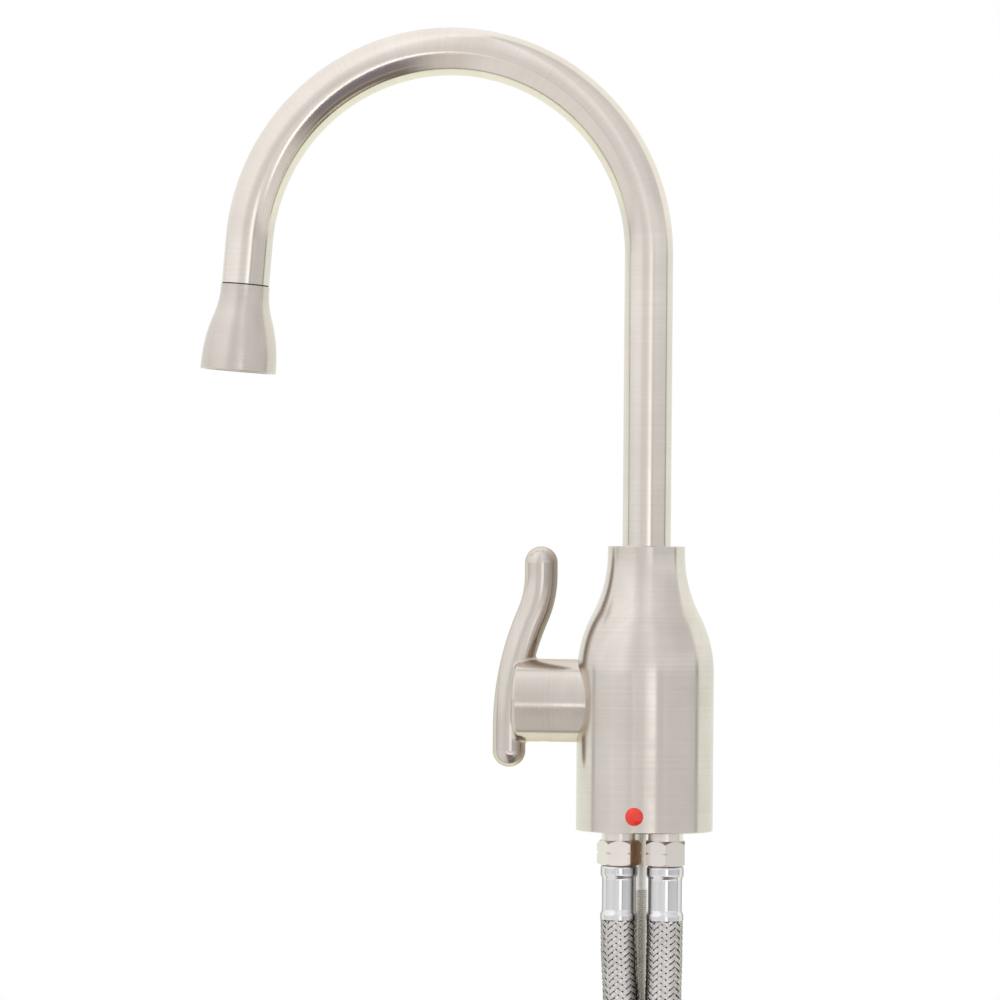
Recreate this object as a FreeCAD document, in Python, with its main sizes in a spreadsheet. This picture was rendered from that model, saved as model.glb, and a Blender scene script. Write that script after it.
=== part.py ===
import FreeCAD, Part
import math
import os
import re

import Sketcher

# Instant hot water tap for a worktop, in millimetres. The worktop is the plane z = 0, the body stands on it
# about the Z axis, the red dot faces -Y, and the spout and the side valve point to -X.
# Left and right are as seen from the front.

# Driving dimensions, each a cell of the sheet
SIZES = {
    # Body
    "base_diameter": 51,
    "neck_diameter": 28.8,
    "body_height": 106,
    "neck_length": 3,
    "waist_height": 58.4,
    "rim_round": 0.35,
    "recess_diameter": 42,
    "recess_depth": 10,
    "press_fit": 0.05,
    # Ring seal in the underside
    "seal_inner_diameter": 44.6,
    "seal_width": 2,
    "seal_depth": 1.6,
    # Red dot
    "dot_diameter": 6.6,
    "dot_height": 6.3,
    "dot_depth": 2,
    "dot_dome": 0.9,
    # Swivel of the spout in the body's neck
    "socket_diameter": 21,
    "socket_depth": 42,
    "bush_length": 8,
    "bush_gap": 0.1,
    "swivel_gap": 0.3,
    "nipple_rest": 2,
    "nipple_bore": 11,
    "nipple_spigot": 12,
    "spout_engagement": 22,
    "swivel_ring_section": 1.8,
    "swivel_ring_gap": 0.1,
    "lower_ring_rise": 6,
    "upper_ring_rise": 10.5,
    "keeper_rise": 15.8,
    "keeper_thread": 5,
    "keeper_tip": 2.8,
    "keeper_tip_length": 2,
    "keeper_groove_depth": 1.6,
    "keeper_length": 9.5,
    # Gooseneck
    "spout_diameter": 18,
    "spout_wall": 1.5,
    "bend_height": 215,
    "bend_radius": 76.75,
    "bend_angle": 175.5,
    "spout_tail": 16.9,
    # Nozzle
    "seam_gap": 0.5,
    "nozzle_length": 33.2,
    "nozzle_top_diameter": 18.4,
    "nozzle_mouth_diameter": 28.6,
    "nozzle_collar": 1.2,
    "nozzle_throat_length": 10.5,
    "nozzle_lip": 1.5,
    "nozzle_wall": 2,
    "nozzle_bore": 11,
    "nozzle_spigot": 9,
    "nozzle_ring_section": 1.4,
    "nozzle_ring_rise": 5,
    "mouth_recess": 1.2,
    "insert_thickness": 5,
    "insert_seal_thickness": 1.5,
    "insert_seal_width": 2.5,
    "jet_diameter": 1.9,
    "jet_inner_circle": 8,
    "jet_outer_circle": 16.4,
    "jet_inner_count": 6,
    "jet_outer_count": 12,
    # Side valve, measured along its axis from the body's axis outwards
    "hub_drop": 58,
    "hub_diameter": 31,
    "hub_gap": 0.3,
    "hub_seat": 18.2,
    "hub_end_gap": 0.4,
    "hub_reach": 48.1,
    "hub_blend": 1.2,
    "hub_bore": 25.2,
    "hub_bore_depth": 13,
    "cartridge_diameter": 20,
    "cartridge_depth": 23.2,
    "cartridge_cavity": 16.8,
    "cartridge_foot_gap": 0.2,
    "cartridge_seal_thickness": 2.6,
    "cartridge_seal_bore": 8.8,
    "cartridge_hex": 19,
    "cartridge_hex_length": 5.5,
    "cartridge_neck": 14,
    "cartridge_neck_length": 4.3,
    "cartridge_ring_section": 1.3,
    "cartridge_ring_place": 16,
    "window_width": 8,
    "window_length": 3.4,
    "gallery_diameter": 24,
    "gallery_start": 3,
    "gallery_length": 6,
    "disc_thickness": 3,
    "disc_gap": 0.2,
    "port_inner_radius": 2.2,
    "port_outer_radius": 6.6,
    "port_half_angle": 35,
    "drive_slot_width": 3,
    "drive_slot_depth": 1.4,
    "drive_gap": 0.1,
    "carrier_length": 4,
    "carrier_gap": 0.4,
    "spindle_diameter": 9,
    "spindle_gap": 0.1,
    "spindle_square": 6.2,
    "spindle_square_length": 11,
    "spindle_ring_section": 1.2,
    "spindle_ring_place": 12,
    "spindle_ring_pitch": 4,
    "clip_thickness": 0.9,
    "clip_diameter": 12.4,
    "clip_groove_depth": 0.8,
    "clip_opening": 60,
    "glide_length": 3.7,
    "handle_screw_place": 38,
    "handle_screw_thread": 5,
    "handle_screw_length": 8,
    # Lever
    "bar_diameter": 12.3,
    "bar_offset": 51.5,
    "bar_lean": 11.7,
    "bar_tail": 3.5,
    "bar_bend_drop": 10,
    "bar_lower_radius": 105,
    "bar_upper_radius": 38,
    "bar_rise": 51.5,
    # Waterways
    "inlet_half_pitch": 8.65,
    "inlet_front": 4.5,
    "inlet_bore": 7,
    "drilling_diameter": 6.4,
    "outlet_offset": 6,
    # Hoses
    "nipple_diameter": 13.2,
    "nipple_depth": 14,
    "nipple_drop": 3.5,
    "hose_nut_hex": 14.4,
    "hose_nut_crown_slope": 50,
    "hose_nut_notch_width": 0.7,
    "hose_nut_notch_depth": 0.7,
    "left_nut_turn": 8.5,
    "right_nut_turn": 38.5,
    "hose_nut_length": 9.2,
    "hose_thread": 11,
    "hose_thread_length": 4.2,
    "hose_washer_thickness": 1.2,
    "hose_flange_thickness": 1.4,
    "stem_diameter": 8.6,
    "stem_bore": 6,
    "stem_length": 18,
    "part_line": 0.2,
    "ferrule_length": 20.1,
    "ferrule_diameter": 13.8,
    "ferrule_waist": 12.6,
    "ferrule_collar": 3,
    "ferrule_flare": 1.6,
    "ferrule_blend": 2.2,
    "ferrule_round": 0.9,
    "hose_diameter": 13.6,
    "hose_inner_diameter": 8.6,
    "end_nut_hex": 19,
    "left_end_nut_turn": 0,
    "right_end_nut_turn": 20,
    "end_nut_length": 15,
    "end_thread": 16.6,
    "end_thread_length": 9.5,
    "end_flange_thickness": 2,
    "end_washer_thickness": 1.6,
    "end_spin_gap": 0.3,
    "end_relief": 0.4,
    # Mounting stud and clamp below the worktop
    "stud_thread": 5,
    "stud_shank": 4,
    "stud_left": 2.2,
    "stud_back": 8,
    "stud_engagement": 11,
    "stud_shank_drop": 22,
    "stud_drop": 88,
    "clamp_drop": 68,
    "clamp_diameter": 48,
    "clamp_slot": 31.6,
    "clamp_slot_back": 3.5,
    "clamp_slot_round": 6,
    "clamp_washer_thickness": 3,
    "clamp_plate_thickness": 2.5,
    "clamp_hole_gap": 0.3,
    "clamp_nut_hex": 9,
    "clamp_nut_length": 11,
    "nut_chamfer": 0.8,
    "nut_chamfer_slope": 30,
}

# Lengths that follow from the driving dimensions
RELATIONS = {
    "base_radius": "base_diameter / 2",
    "neck_radius": "neck_diameter / 2",
    "shoulder_top": "body_height - neck_length",
    "shoulder_rise": "shoulder_top - waist_height",
    "shoulder_step": "base_radius - neck_radius",
    "shoulder_radius": "(shoulder_rise ^ 2 + shoulder_step ^ 2) / (4 * shoulder_step)",
    "socket_radius": "socket_diameter / 2",
    "socket_floor": "body_height - socket_depth",
    "spout_foot": "body_height - spout_engagement",
    "lower_ring_height": "socket_floor + lower_ring_rise",
    "upper_ring_height": "socket_floor + upper_ring_rise",
    "keeper_height": "socket_floor + keeper_rise",
    "spout_radius": "spout_diameter / 2",
    "spout_bore_radius": "spout_radius - spout_wall",
    "nipple_foot": "socket_floor + nipple_rest",
    "nipple_radius": "socket_radius - swivel_gap",
    "keeper_groove_radius": "nipple_radius - keeper_groove_depth",
    "swivel_ring_radius": "socket_radius - swivel_ring_gap - swivel_ring_section / 2",
    "tail_tilt": "180 - bend_angle",
    "tail_start_across": "bend_radius + bend_radius * cos(tail_tilt)",
    "tail_start_height": "bend_height + bend_radius * sin(tail_tilt)",
    "tail_end_across": "tail_start_across + spout_tail * sin(tail_tilt)",
    "tail_end_height": "tail_start_height - spout_tail * cos(tail_tilt)",
    "nozzle_top_radius": "nozzle_top_diameter / 2",
    "nozzle_mouth_radius": "nozzle_mouth_diameter / 2",
    "nozzle_step": "nozzle_mouth_radius - nozzle_top_radius",
    "nozzle_flare_start": "seam_gap + nozzle_collar",
    "nozzle_flare_length": "nozzle_length - nozzle_flare_start - nozzle_lip",
    "nozzle_turn": "2 * atan(nozzle_step / nozzle_flare_length) / 1deg",
    "throat_radius": "nozzle_throat_length / sin(nozzle_turn)",
    "flare_radius": "(nozzle_flare_length - nozzle_throat_length) / sin(nozzle_turn)",
    "throat_across": "nozzle_top_radius + throat_radius * (1 - cos(nozzle_turn))",
    "mouth_bore_radius": "nozzle_mouth_radius - nozzle_wall",
    "insert_top": "nozzle_length - mouth_recess - insert_thickness",
    "mouth_bore_top": "insert_top - insert_seal_thickness",
    "nozzle_spigot_radius": "spout_bore_radius - press_fit",
    "nozzle_ring_radius": "spout_bore_radius - press_fit - nozzle_ring_section / 2",
    "hub_radius": "hub_diameter / 2",
    "hub_height": "body_height - hub_drop",
    "hub_start": "hub_seat + hub_end_gap",
    "hub_bore_end": "hub_start + hub_bore_depth",
    "cartridge_radius": "cartridge_diameter / 2",
    "cartridge_bore_radius": "cartridge_radius + press_fit",
    "cavity_radius": "cartridge_cavity / 2",
    "valve_floor": "hub_seat - cartridge_depth",
    "seal_top": "valve_floor + cartridge_seal_thickness",
    "fixed_disc_top": "seal_top + disc_thickness",
    "moving_disc_top": "fixed_disc_top + disc_thickness",
    "disc_radius": "cavity_radius - disc_gap",
    "carrier_top": "moving_disc_top + carrier_length",
    "cavity_top": "carrier_top + carrier_gap",
    "spindle_radius": "spindle_diameter / 2",
    "spindle_bore_radius": "spindle_radius + spindle_gap",
    "hex_top": "hub_seat + cartridge_hex_length",
    "neck_top": "hex_top + cartridge_neck_length",
    "clip_start": "neck_top + part_line",
    "square_start": "hub_bore_end - hub_end_gap",
    "cartridge_ring_radius": "cartridge_radius - cartridge_ring_section / 2",
    "spindle_ring_radius": "spindle_radius - spindle_ring_section / 2",
    "bar_radius": "bar_diameter / 2",
    "bar_turn": "acos(1 - bar_lean / (bar_lower_radius + bar_upper_radius)) / 1deg",
    "bar_foot": "-(hub_radius + bar_tail)",
    "bar_bend": "-bar_bend_drop",
    "bar_swap": "bar_bend + bar_lower_radius * sin(bar_turn)",
    "bar_swap_offset": "bar_offset - bar_lower_radius * (1 - cos(bar_turn))",
    "bar_straight": "bar_bend + (bar_lower_radius + bar_upper_radius) * sin(bar_turn)",
    "bar_top_offset": "bar_offset - bar_lean",
    "nipple_top": "recess_depth + nipple_depth",
    "inlet_radius": "nipple_diameter / 2",
    "hose_nut_foot": "nipple_drop + hose_nut_length",
    "nipple_foot_drop": "nipple_drop + hose_thread_length",
    "washer_foot": "nipple_foot_drop + hose_washer_thickness",
    "flange_foot": "washer_foot + hose_flange_thickness",
    "ferrule_top": "hose_nut_foot + part_line",
    "ferrule_step": "(ferrule_diameter - ferrule_waist) / 2",
    "ferrule_bend": "(ferrule_blend ^ 2 + ferrule_step ^ 2) / (4 * ferrule_step)",
    "stem_radius": "stem_diameter / 2",
    "stud_radius": "stud_thread / 2",
    "clamp_plate_drop": "clamp_drop + clamp_washer_thickness",
    "clamp_nut_drop": "clamp_plate_drop + clamp_plate_thickness",
}

# Routes of the two hoses, from the face of the upper ferrule to that of the lower one
LEFT_ROUTE = [
    (-8.65, -4.5, -33.0),
    (-8.65, -4.5, -45.0),
    (-6.9, -5.0, -68.0),
    (-8.6, -6.5, -110.0),
    (-15.0, -8.0, -165.0),
    (-21.0, -8.5, -225.0),
    (-23.0, -8.5, -270.0),
    (-23.0, -8.5, -305.0),
]
RIGHT_ROUTE = [
    (8.65, -4.5, -33.0),
    (8.65, -4.5, -45.0),
    (8.2, -4.9, -68.0),
    (9.8, -5.0, -110.0),
    (15.0, -3.5, -165.0),
    (20.0, -1.5, -225.0),
    (21.5, -0.8, -270.0),
    (21.5, -0.8, -305.0),
]
BEND_SHARE = 0.45

ALIAS = re.compile(r"\b[a-z]+(?:_[a-z]+)+\b")
NEGLIGIBLE = 1e-9
CLOSE = 1e-4
FULL_TURN = 360
QUARTER_TURN = 90
HEX_SIDES = 6
HEX_CORNER = "(2 * cos(30))"
UP = FreeCAD.Vector(0, 0, 1)
SIDEWAYS = FreeCAD.Vector(0, 1, 0)

doc = FreeCAD.newDocument("InstantHotWaterTap")
sheet = doc.addObject("Spreadsheet::Sheet", "Sizes")
for row, (alias, number) in enumerate(SIZES.items(), start=1):
    sheet.set(f"A{row}", alias)
    sheet.set(f"B{row}", str(number))
    sheet.setAlias(f"B{row}", alias)
doc.recompute()

parts = []


def bound(text):
    """Spells out a length in the cells of the sheet."""

    def spell(match):
        word = match.group(0)
        if word in RELATIONS:
            return "(" + bound(RELATIONS[word]) + ")"
        return "Sizes." + word

    return ALIAS.sub(spell, str(text))


def value(text):
    """The number that a length comes to."""
    return float(sheet.evalExpression(bound(text)))


def keep(obj, label, x="0", y="0", z="0", axis=None, angle="0"):
    """Names a finished sub-part and puts it in its place."""
    obj.Label = label
    if axis is not None:
        obj.Placement = FreeCAD.Placement(FreeCAD.Vector(), FreeCAD.Rotation(axis, value(angle)))
    for direction, place in (("x", x), ("y", y), ("z", z)):
        obj.setExpression(f"Placement.Base.{direction}", bound(place))
    if axis is not None:
        obj.setExpression("Placement.Rotation.Angle", bound(angle))
    parts.append(obj)
    return obj


def keep_on_valve(obj, label):
    """Puts a piece on the side valve's axis: its own Z points to -X and its own X points up."""
    obj.Label = label
    obj.Placement = FreeCAD.Placement(FreeCAD.Vector(), FreeCAD.Rotation(SIDEWAYS, -QUARTER_TURN))
    obj.setExpression("Placement.Base.z", bound("hub_height"))
    parts.append(obj)
    return obj


def new_body(name):
    return doc.addObject("PartDesign::Body", name)


def new_sketch(body, role, offset="0"):
    """An empty sketch on one of the body's own planes, moved along that plane's normal."""
    sketch = body.newObject("Sketcher::SketchObject", "Sketch")
    plane = next(feature for feature in body.Origin.OriginFeatures if feature.Role == role)
    sketch.AttachmentSupport = (plane, [""])
    sketch.MapMode = "FlatFace"
    sketch.setExpression("AttachmentOffset.Base.z", bound(offset))
    return sketch


def fix_size(sketch, constraint, length):
    index = sketch.addConstraint(constraint)
    sketch.setExpression(f"Constraints[{index}]", bound(length))


def fix_point(sketch, geometry, position, across, along):
    """Ties a point of a sketch to its two distances from the origin."""
    for kind, length, axis in (("DistanceX", across, -2), ("DistanceY", along, -1)):
        number = value(length)
        if abs(number) < NEGLIGIBLE:
            sketch.addConstraint(Sketcher.Constraint("PointOnObject", geometry, position, axis))
        elif number > 0:
            fix_size(sketch, Sketcher.Constraint(kind, -1, 1, geometry, position, number), length)
        else:
            fix_size(sketch, Sketcher.Constraint(kind, geometry, position, -1, 1, -number), f"-({length})")


def add_run(sketch, start, end, radius):
    """Adds a straight or round run; a positive radius turns left on the way, a negative one right.

    Returns the run's index and which of its two ends is the start and which the end.
    """
    if radius is None:
        return sketch.addGeometry(Part.LineSegment(start, end)), 1, 2
    size = value(radius)
    chord = end - start
    left = FreeCAD.Vector(-chord.y, chord.x, 0).normalize()
    reach = math.sqrt(max(size * size - chord.Length ** 2 / 4, 0))
    center = (start + end) * 0.5 + left * math.copysign(reach, size)
    first, last = (start, end) if size > 0 else (end, start)
    from_angle = math.atan2(first.y - center.y, first.x - center.x)
    to_angle = math.atan2(last.y - center.y, last.x - center.x)
    circle = Part.Circle(center, UP, abs(size))
    index = sketch.addGeometry(Part.ArcOfCircle(circle, from_angle, to_angle))
    length = radius if size > 0 else f"-({radius})"
    fix_size(sketch, Sketcher.Constraint("Radius", index, abs(size)), length)
    return (index, 1, 2) if size > 0 else (index, 2, 1)


def outline(sketch, points, closed=True):
    """Draws runs through points (across, along) or (across, along, radius of the run that leaves it)."""
    places = [FreeCAD.Vector(value(point[0]), value(point[1]), 0) for point in points]
    count = len(points) if closed else len(points) - 1
    runs = []
    for index in range(count):
        radius = points[index][2] if len(points[index]) > 2 else None
        runs.append(add_run(sketch, places[index], places[(index + 1) % len(points)], radius))
    for index in range(count if closed else count - 1):
        geometry, _, end = runs[index]
        following, start, _ = runs[(index + 1) % count]
        sketch.addConstraint(Sketcher.Constraint("Coincident", geometry, end, following, start))
    for index, point in enumerate(points):
        geometry, start, end = runs[min(index, count - 1)]
        fix_point(sketch, geometry, start if index < count else end, point[0], point[1])
    return sketch


def circle(sketch, radius, across="0", along="0"):
    center = FreeCAD.Vector(value(across), value(along), 0)
    index = sketch.addGeometry(Part.Circle(center, UP, value(radius)))
    fix_size(sketch, Sketcher.Constraint("Radius", index, value(radius)), radius)
    fix_point(sketch, index, 3, across, along)
    return sketch


def hexagon(sketch, across_flats, turn="0"):
    """A hexagon about the origin, with one corner turned from the sketch's first axis."""
    corner = f"({across_flats}) / {HEX_CORNER}"
    points = []
    for index in range(HEX_SIDES):
        angle = f"{turn} + {FULL_TURN * index // HEX_SIDES}"
        points.append((f"{corner} * cos({angle})", f"{corner} * sin({angle})"))
    return outline(sketch, points)


def feature(body, kind, sketch, **lengths):
    """Adds a sketched feature whose lengths are bound to the sheet, and checks which way it went."""
    before = body.Shape.Volume if body.Tip is not None and not body.Shape.isNull() else 0.0
    made = body.newObject(f"PartDesign::{kind}", kind)
    made.Profile = sketch
    for name, length in lengths.items():
        if isinstance(length, str):
            made.setExpression(name, bound(length))
        else:
            setattr(made, name, length)
    doc.recompute()
    grown = body.Shape.Volume - before
    adds = kind in ("Pad", "Revolution", "AdditivePipe")
    if (grown > 0) != adds or abs(grown) < NEGLIGIBLE:
        raise RuntimeError(f"{body.Name}: {kind} changed the volume by {grown:.4f}")
    return made


def spin(body, points, kind="Revolution"):
    """Turns an outline of (radius, height) points about the body's Z axis."""
    sketch = outline(new_sketch(body, "XZ_Plane"), points)
    return feature(body, kind, sketch, ReferenceAxis=(sketch, ["V_Axis"]), Angle=FULL_TURN)


def ring(inner, outer, bottom, top):
    """Outline of a plain ring, or of a disc where the inner radius is zero."""
    return [(inner, bottom), (outer, bottom), (outer, top), (inner, top)]


def turned(name, points):
    body = new_body(name)
    spin(body, points)
    return body


def bore(body, radius, across, along, start, depth, up):
    """Drills a round hole along Z from a height, upwards or downwards."""
    sketch = circle(new_sketch(body, "XY_Plane", start), radius, across, along)
    return feature(body, "Pocket", sketch, Length=depth, Reversed=up)


def chamfer_hex(body, across_flats, bottom, top, crown="nut_chamfer_slope"):
    """Turns the corners of a hexagon off at both ends, at the top with the crown's slope."""
    corner = f"({across_flats}) / {HEX_CORNER} + nut_chamfer"
    flat = f"({across_flats}) / 2"
    reach = f"({corner} - {flat})"
    spin(body, [(flat, top), (corner, f"{top} - {reach} * tan({crown})"), (corner, top)], "Groove")
    rise = f"{reach} * tan(nut_chamfer_slope)"
    spin(body, [(flat, bottom), (corner, bottom), (corner, f"{bottom} + {rise}")], "Groove")


def torus(name, radius, section):
    """A round sealing ring about its own Z axis."""
    made = doc.addObject("Part::Torus", name)
    made.setExpression("Radius1", bound(radius))
    made.setExpression("Radius2", bound(f"{section} / 2"))
    return made


def tap_body():
    """Turned body with its swivel socket, valve bore, waterways and underside."""
    body = new_body("TapBody")
    middle = ("(base_radius + neck_radius) / 2", "(waist_height + shoulder_top) / 2")
    spin(body, [
        ("0", "0"),
        ("base_radius - rim_round", "0", "rim_round"),
        ("base_radius", "rim_round"),
        ("base_radius", "waist_height", "shoulder_radius"),
        (*middle, "-shoulder_radius"),
        ("neck_radius", "shoulder_top"),
        ("neck_radius", "body_height - rim_round", "rim_round"),
        ("neck_radius - rim_round", "body_height"),
        ("0", "body_height"),
    ])
    # Underside: recess and the seal's groove
    bore(body, "recess_diameter / 2", "0", "0", "0", "recess_depth", True)
    inner = "seal_inner_diameter / 2"
    spin(body, ring(inner, f"{inner} + seal_width", "0", "seal_depth"), "Groove")
    # Swivel socket and the retaining screw's hole behind it
    bore(body, "socket_radius", "0", "0", "body_height", "body_height - socket_floor", False)
    hole = circle(new_sketch(body, "XZ_Plane"), "keeper_thread / 2 + press_fit", "0", "keeper_height")
    feature(body, "Pocket", hole, Length="base_radius")
    # Side valve: seat of the hub, bore of the cartridge, inlet behind it and the gallery round it
    seat = circle(new_sketch(body, "YZ_Plane", "-hub_seat"), "hub_radius + hub_gap", "0", "hub_height")
    feature(body, "Pocket", seat, Length="base_radius")
    sleeve = circle(new_sketch(body, "YZ_Plane", "-hub_seat"), "cartridge_bore_radius", "0", "hub_height")
    feature(body, "Pocket", sleeve, Length="cartridge_depth", Reversed=True)
    inlet = circle(new_sketch(body, "YZ_Plane", "-valve_floor"), "inlet_bore / 2", "0", "hub_height")
    feature(body, "Pocket", inlet, Length="inlet_half_pitch + valve_floor", Reversed=True)
    gallery = new_sketch(body, "YZ_Plane", "-gallery_start")
    circle(gallery, "gallery_diameter / 2", "0", "hub_height")
    feature(body, "Pocket", gallery, Length="gallery_length")
    # Drillings: outlet up to the socket, and the two inlets from below
    drill = "drilling_diameter / 2"
    bore(body, drill, "-outlet_offset", "0", "socket_floor", "socket_floor - hub_height", False)
    for side, top in (("-", "hub_height - cartridge_radius"), ("", "hub_height")):
        across = f"{side}inlet_half_pitch"
        bore(body, "inlet_radius + press_fit", across, "-inlet_front", "recess_depth", "nipple_depth", True)
        bore(body, drill, across, "-inlet_front", "nipple_top", f"{top} - (nipple_top)", True)
    bore(body, "stud_radius + press_fit", "-stud_left", "stud_back", "recess_depth", "stud_engagement", True)
    # Pocket of the red dot
    dot = new_sketch(body, "XZ_Plane", "base_radius - dot_depth")
    circle(dot, "dot_diameter / 2 + press_fit", "0", "dot_height")
    feature(body, "Pocket", dot, Length="2 * dot_depth", Reversed=True)
    keep(body, "tap_body")


def body_fittings():
    """Seal under the base, red dot, bush of the neck and the screw that keeps the spout."""
    seal = ring("seal_inner_diameter / 2 + press_fit", "seal_inner_diameter / 2 + seal_width - press_fit",
                "0", "seal_depth - press_fit")
    keep(turned("BaseSeal", seal), "base_seal")
    half = "dot_diameter / 2"
    dome_radius = f"(({half}) ^ 2 + dot_dome ^ 2) / (2 * dot_dome)"
    dot = turned("HotIndicator", [
        ("0", "0"),
        (half, "0"),
        (half, "dot_depth", dome_radius),
        ("0", "dot_depth + dot_dome"),
    ])
    keep(dot, "hot_indicator", y="dot_depth - base_radius - press_fit", z="dot_height",
         axis=FreeCAD.Vector(1, 0, 0), angle="90")
    bush = ring("spout_radius + bush_gap", "socket_radius - press_fit",
                "body_height - bush_length", "body_height")
    keep(turned("SpoutBush", bush), "spout_bush")
    tip = "keeper_groove_radius + swivel_gap"
    keeper = turned("SpoutRetainingScrew", [
        ("0", "0"),
        ("keeper_tip / 2", "0"),
        ("keeper_tip / 2", "keeper_tip_length"),
        ("keeper_thread / 2", "keeper_tip_length"),
        ("keeper_thread / 2", "keeper_length"),
        ("0", "keeper_length"),
    ])
    socket = hexagon(new_sketch(keeper, "XY_Plane", "keeper_length"), "keeper_thread / 2")
    feature(keeper, "Pocket", socket, Length="keeper_tip_length")
    keep(keeper, "spout_retaining_screw", y=tip, z="keeper_height", axis=FreeCAD.Vector(1, 0, 0), angle="-90")


def spout_foot():
    """Nipple that turns in the socket, with its two sealing rings."""
    groove = "nipple_radius"
    nipple = turned("SpoutNipple", [
        ("nipple_bore / 2", "nipple_foot"),
        (groove, "nipple_foot"),
        (groove, "spout_foot"),
        ("spout_bore_radius - press_fit", "spout_foot"),
        ("spout_bore_radius - press_fit", "spout_foot + nipple_spigot"),
        ("nipple_bore / 2", "spout_foot + nipple_spigot"),
    ])
    floor = "swivel_ring_radius - swivel_ring_section / 2 - press_fit"
    half = "swivel_ring_section / 2 + press_fit"
    for height in ("lower_ring_height", "upper_ring_height"):
        spin(nipple, ring(floor, groove, f"{height} - ({half})", f"{height} + {half}"), "Groove")
    half = "keeper_tip / 2 + swivel_gap"
    track = ring("keeper_groove_radius", groove, f"keeper_height - ({half})", f"keeper_height + {half}")
    spin(nipple, track, "Groove")
    keep(nipple, "spout_nipple")
    for level in ("lower", "upper"):
        seal = torus(f"SpoutRing{level.title()}", "swivel_ring_radius", "swivel_ring_section")
        keep(seal, f"spout_o_ring_{level}", z=f"{level}_ring_height")


def spout_tube():
    """Gooseneck: a tube from the swivel up, over and down to the nozzle."""
    body = new_body("SpoutTube")
    spine = outline(new_sketch(body, "XZ_Plane"), [
        ("0", "spout_foot"),
        ("0", "bend_height", "bend_radius"),
        ("-bend_radius", "bend_height + bend_radius", "bend_radius"),
        ("-tail_start_across", "tail_start_height"),
        ("-tail_end_across", "tail_end_height"),
    ], closed=False)
    section = new_sketch(body, "XY_Plane", "spout_foot")
    circle(section, "spout_radius")
    circle(section, "spout_bore_radius")
    doc.recompute()
    runs = [f"Edge{index + 1}" for index in range(len(spine.Shape.Edges))]
    feature(body, "AdditivePipe", section, Spine=(spine, runs))
    keep(body, "spout_tube")


def keep_on_tail(obj, label, along="0"):
    """Puts a piece on the axis of the spout's tail: its own Z points out of the spout."""
    keep(obj, label, x=f"-(tail_end_across) - ({along}) * sin(tail_tilt)",
         z=f"tail_end_height - ({along}) * cos(tail_tilt)", axis=SIDEWAYS, angle="180 + tail_tilt")


def nozzle():
    """Flared nozzle with its sealing ring, jet plate and the plate's seal."""
    body = turned("OutletNozzle", [
        ("nozzle_bore / 2", "-nozzle_spigot"),
        ("nozzle_spigot_radius", "-nozzle_spigot"),
        ("nozzle_spigot_radius", "seam_gap"),
        ("nozzle_top_radius", "seam_gap"),
        ("nozzle_top_radius", "nozzle_flare_start", "-throat_radius"),
        ("throat_across", "nozzle_flare_start + nozzle_throat_length", "flare_radius"),
        ("nozzle_mouth_radius", "nozzle_length - nozzle_lip"),
        ("nozzle_mouth_radius", "nozzle_length - rim_round", "rim_round"),
        ("nozzle_mouth_radius - rim_round", "nozzle_length"),
        ("mouth_bore_radius", "nozzle_length"),
        ("mouth_bore_radius", "mouth_bore_top"),
        ("mouth_bore_radius - insert_seal_width", "mouth_bore_top"),
        ("nozzle_bore / 2", "nozzle_flare_start + nozzle_throat_length"),
    ])
    floor = "nozzle_ring_radius - nozzle_ring_section / 2 - press_fit"
    half = "nozzle_ring_section / 2 + press_fit"
    spin(body, ring(floor, "nozzle_spigot_radius", f"-nozzle_ring_rise - ({half})",
                    f"-nozzle_ring_rise + {half}"), "Groove")
    keep_on_tail(body, "outlet_nozzle")
    keep_on_tail(torus("NozzleRing", "nozzle_ring_radius", "nozzle_ring_section"), "nozzle_o_ring",
                 "-nozzle_ring_rise")
    outer = "mouth_bore_radius - press_fit"
    keep_on_tail(turned("AeratorSeal", ring("mouth_bore_radius - insert_seal_width", outer, "mouth_bore_top",
                                            "insert_top")), "aerator_seal")
    insert = turned("AeratorInsert", ring("0", outer, "insert_top", "insert_top + insert_thickness"))
    bore(insert, "jet_diameter / 2", "0", "0", "insert_top", "insert_thickness", True)
    for row in ("inner", "outer"):
        place = f"jet_{row}_circle / 2"
        jet = bore(insert, "jet_diameter / 2", place, "0", "insert_top", "insert_thickness", True)
        pattern = insert.newObject("PartDesign::PolarPattern", "Jets")
        pattern.Originals = [jet]
        pattern.Axis = (jet.Profile[0], ["N_Axis"])
        pattern.Angle = FULL_TURN
        pattern.setExpression("Occurrences", bound(f"jet_{row}_count"))
        insert.Tip = pattern
        doc.recompute()
    keep_on_tail(insert, "aerator_insert")


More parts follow.
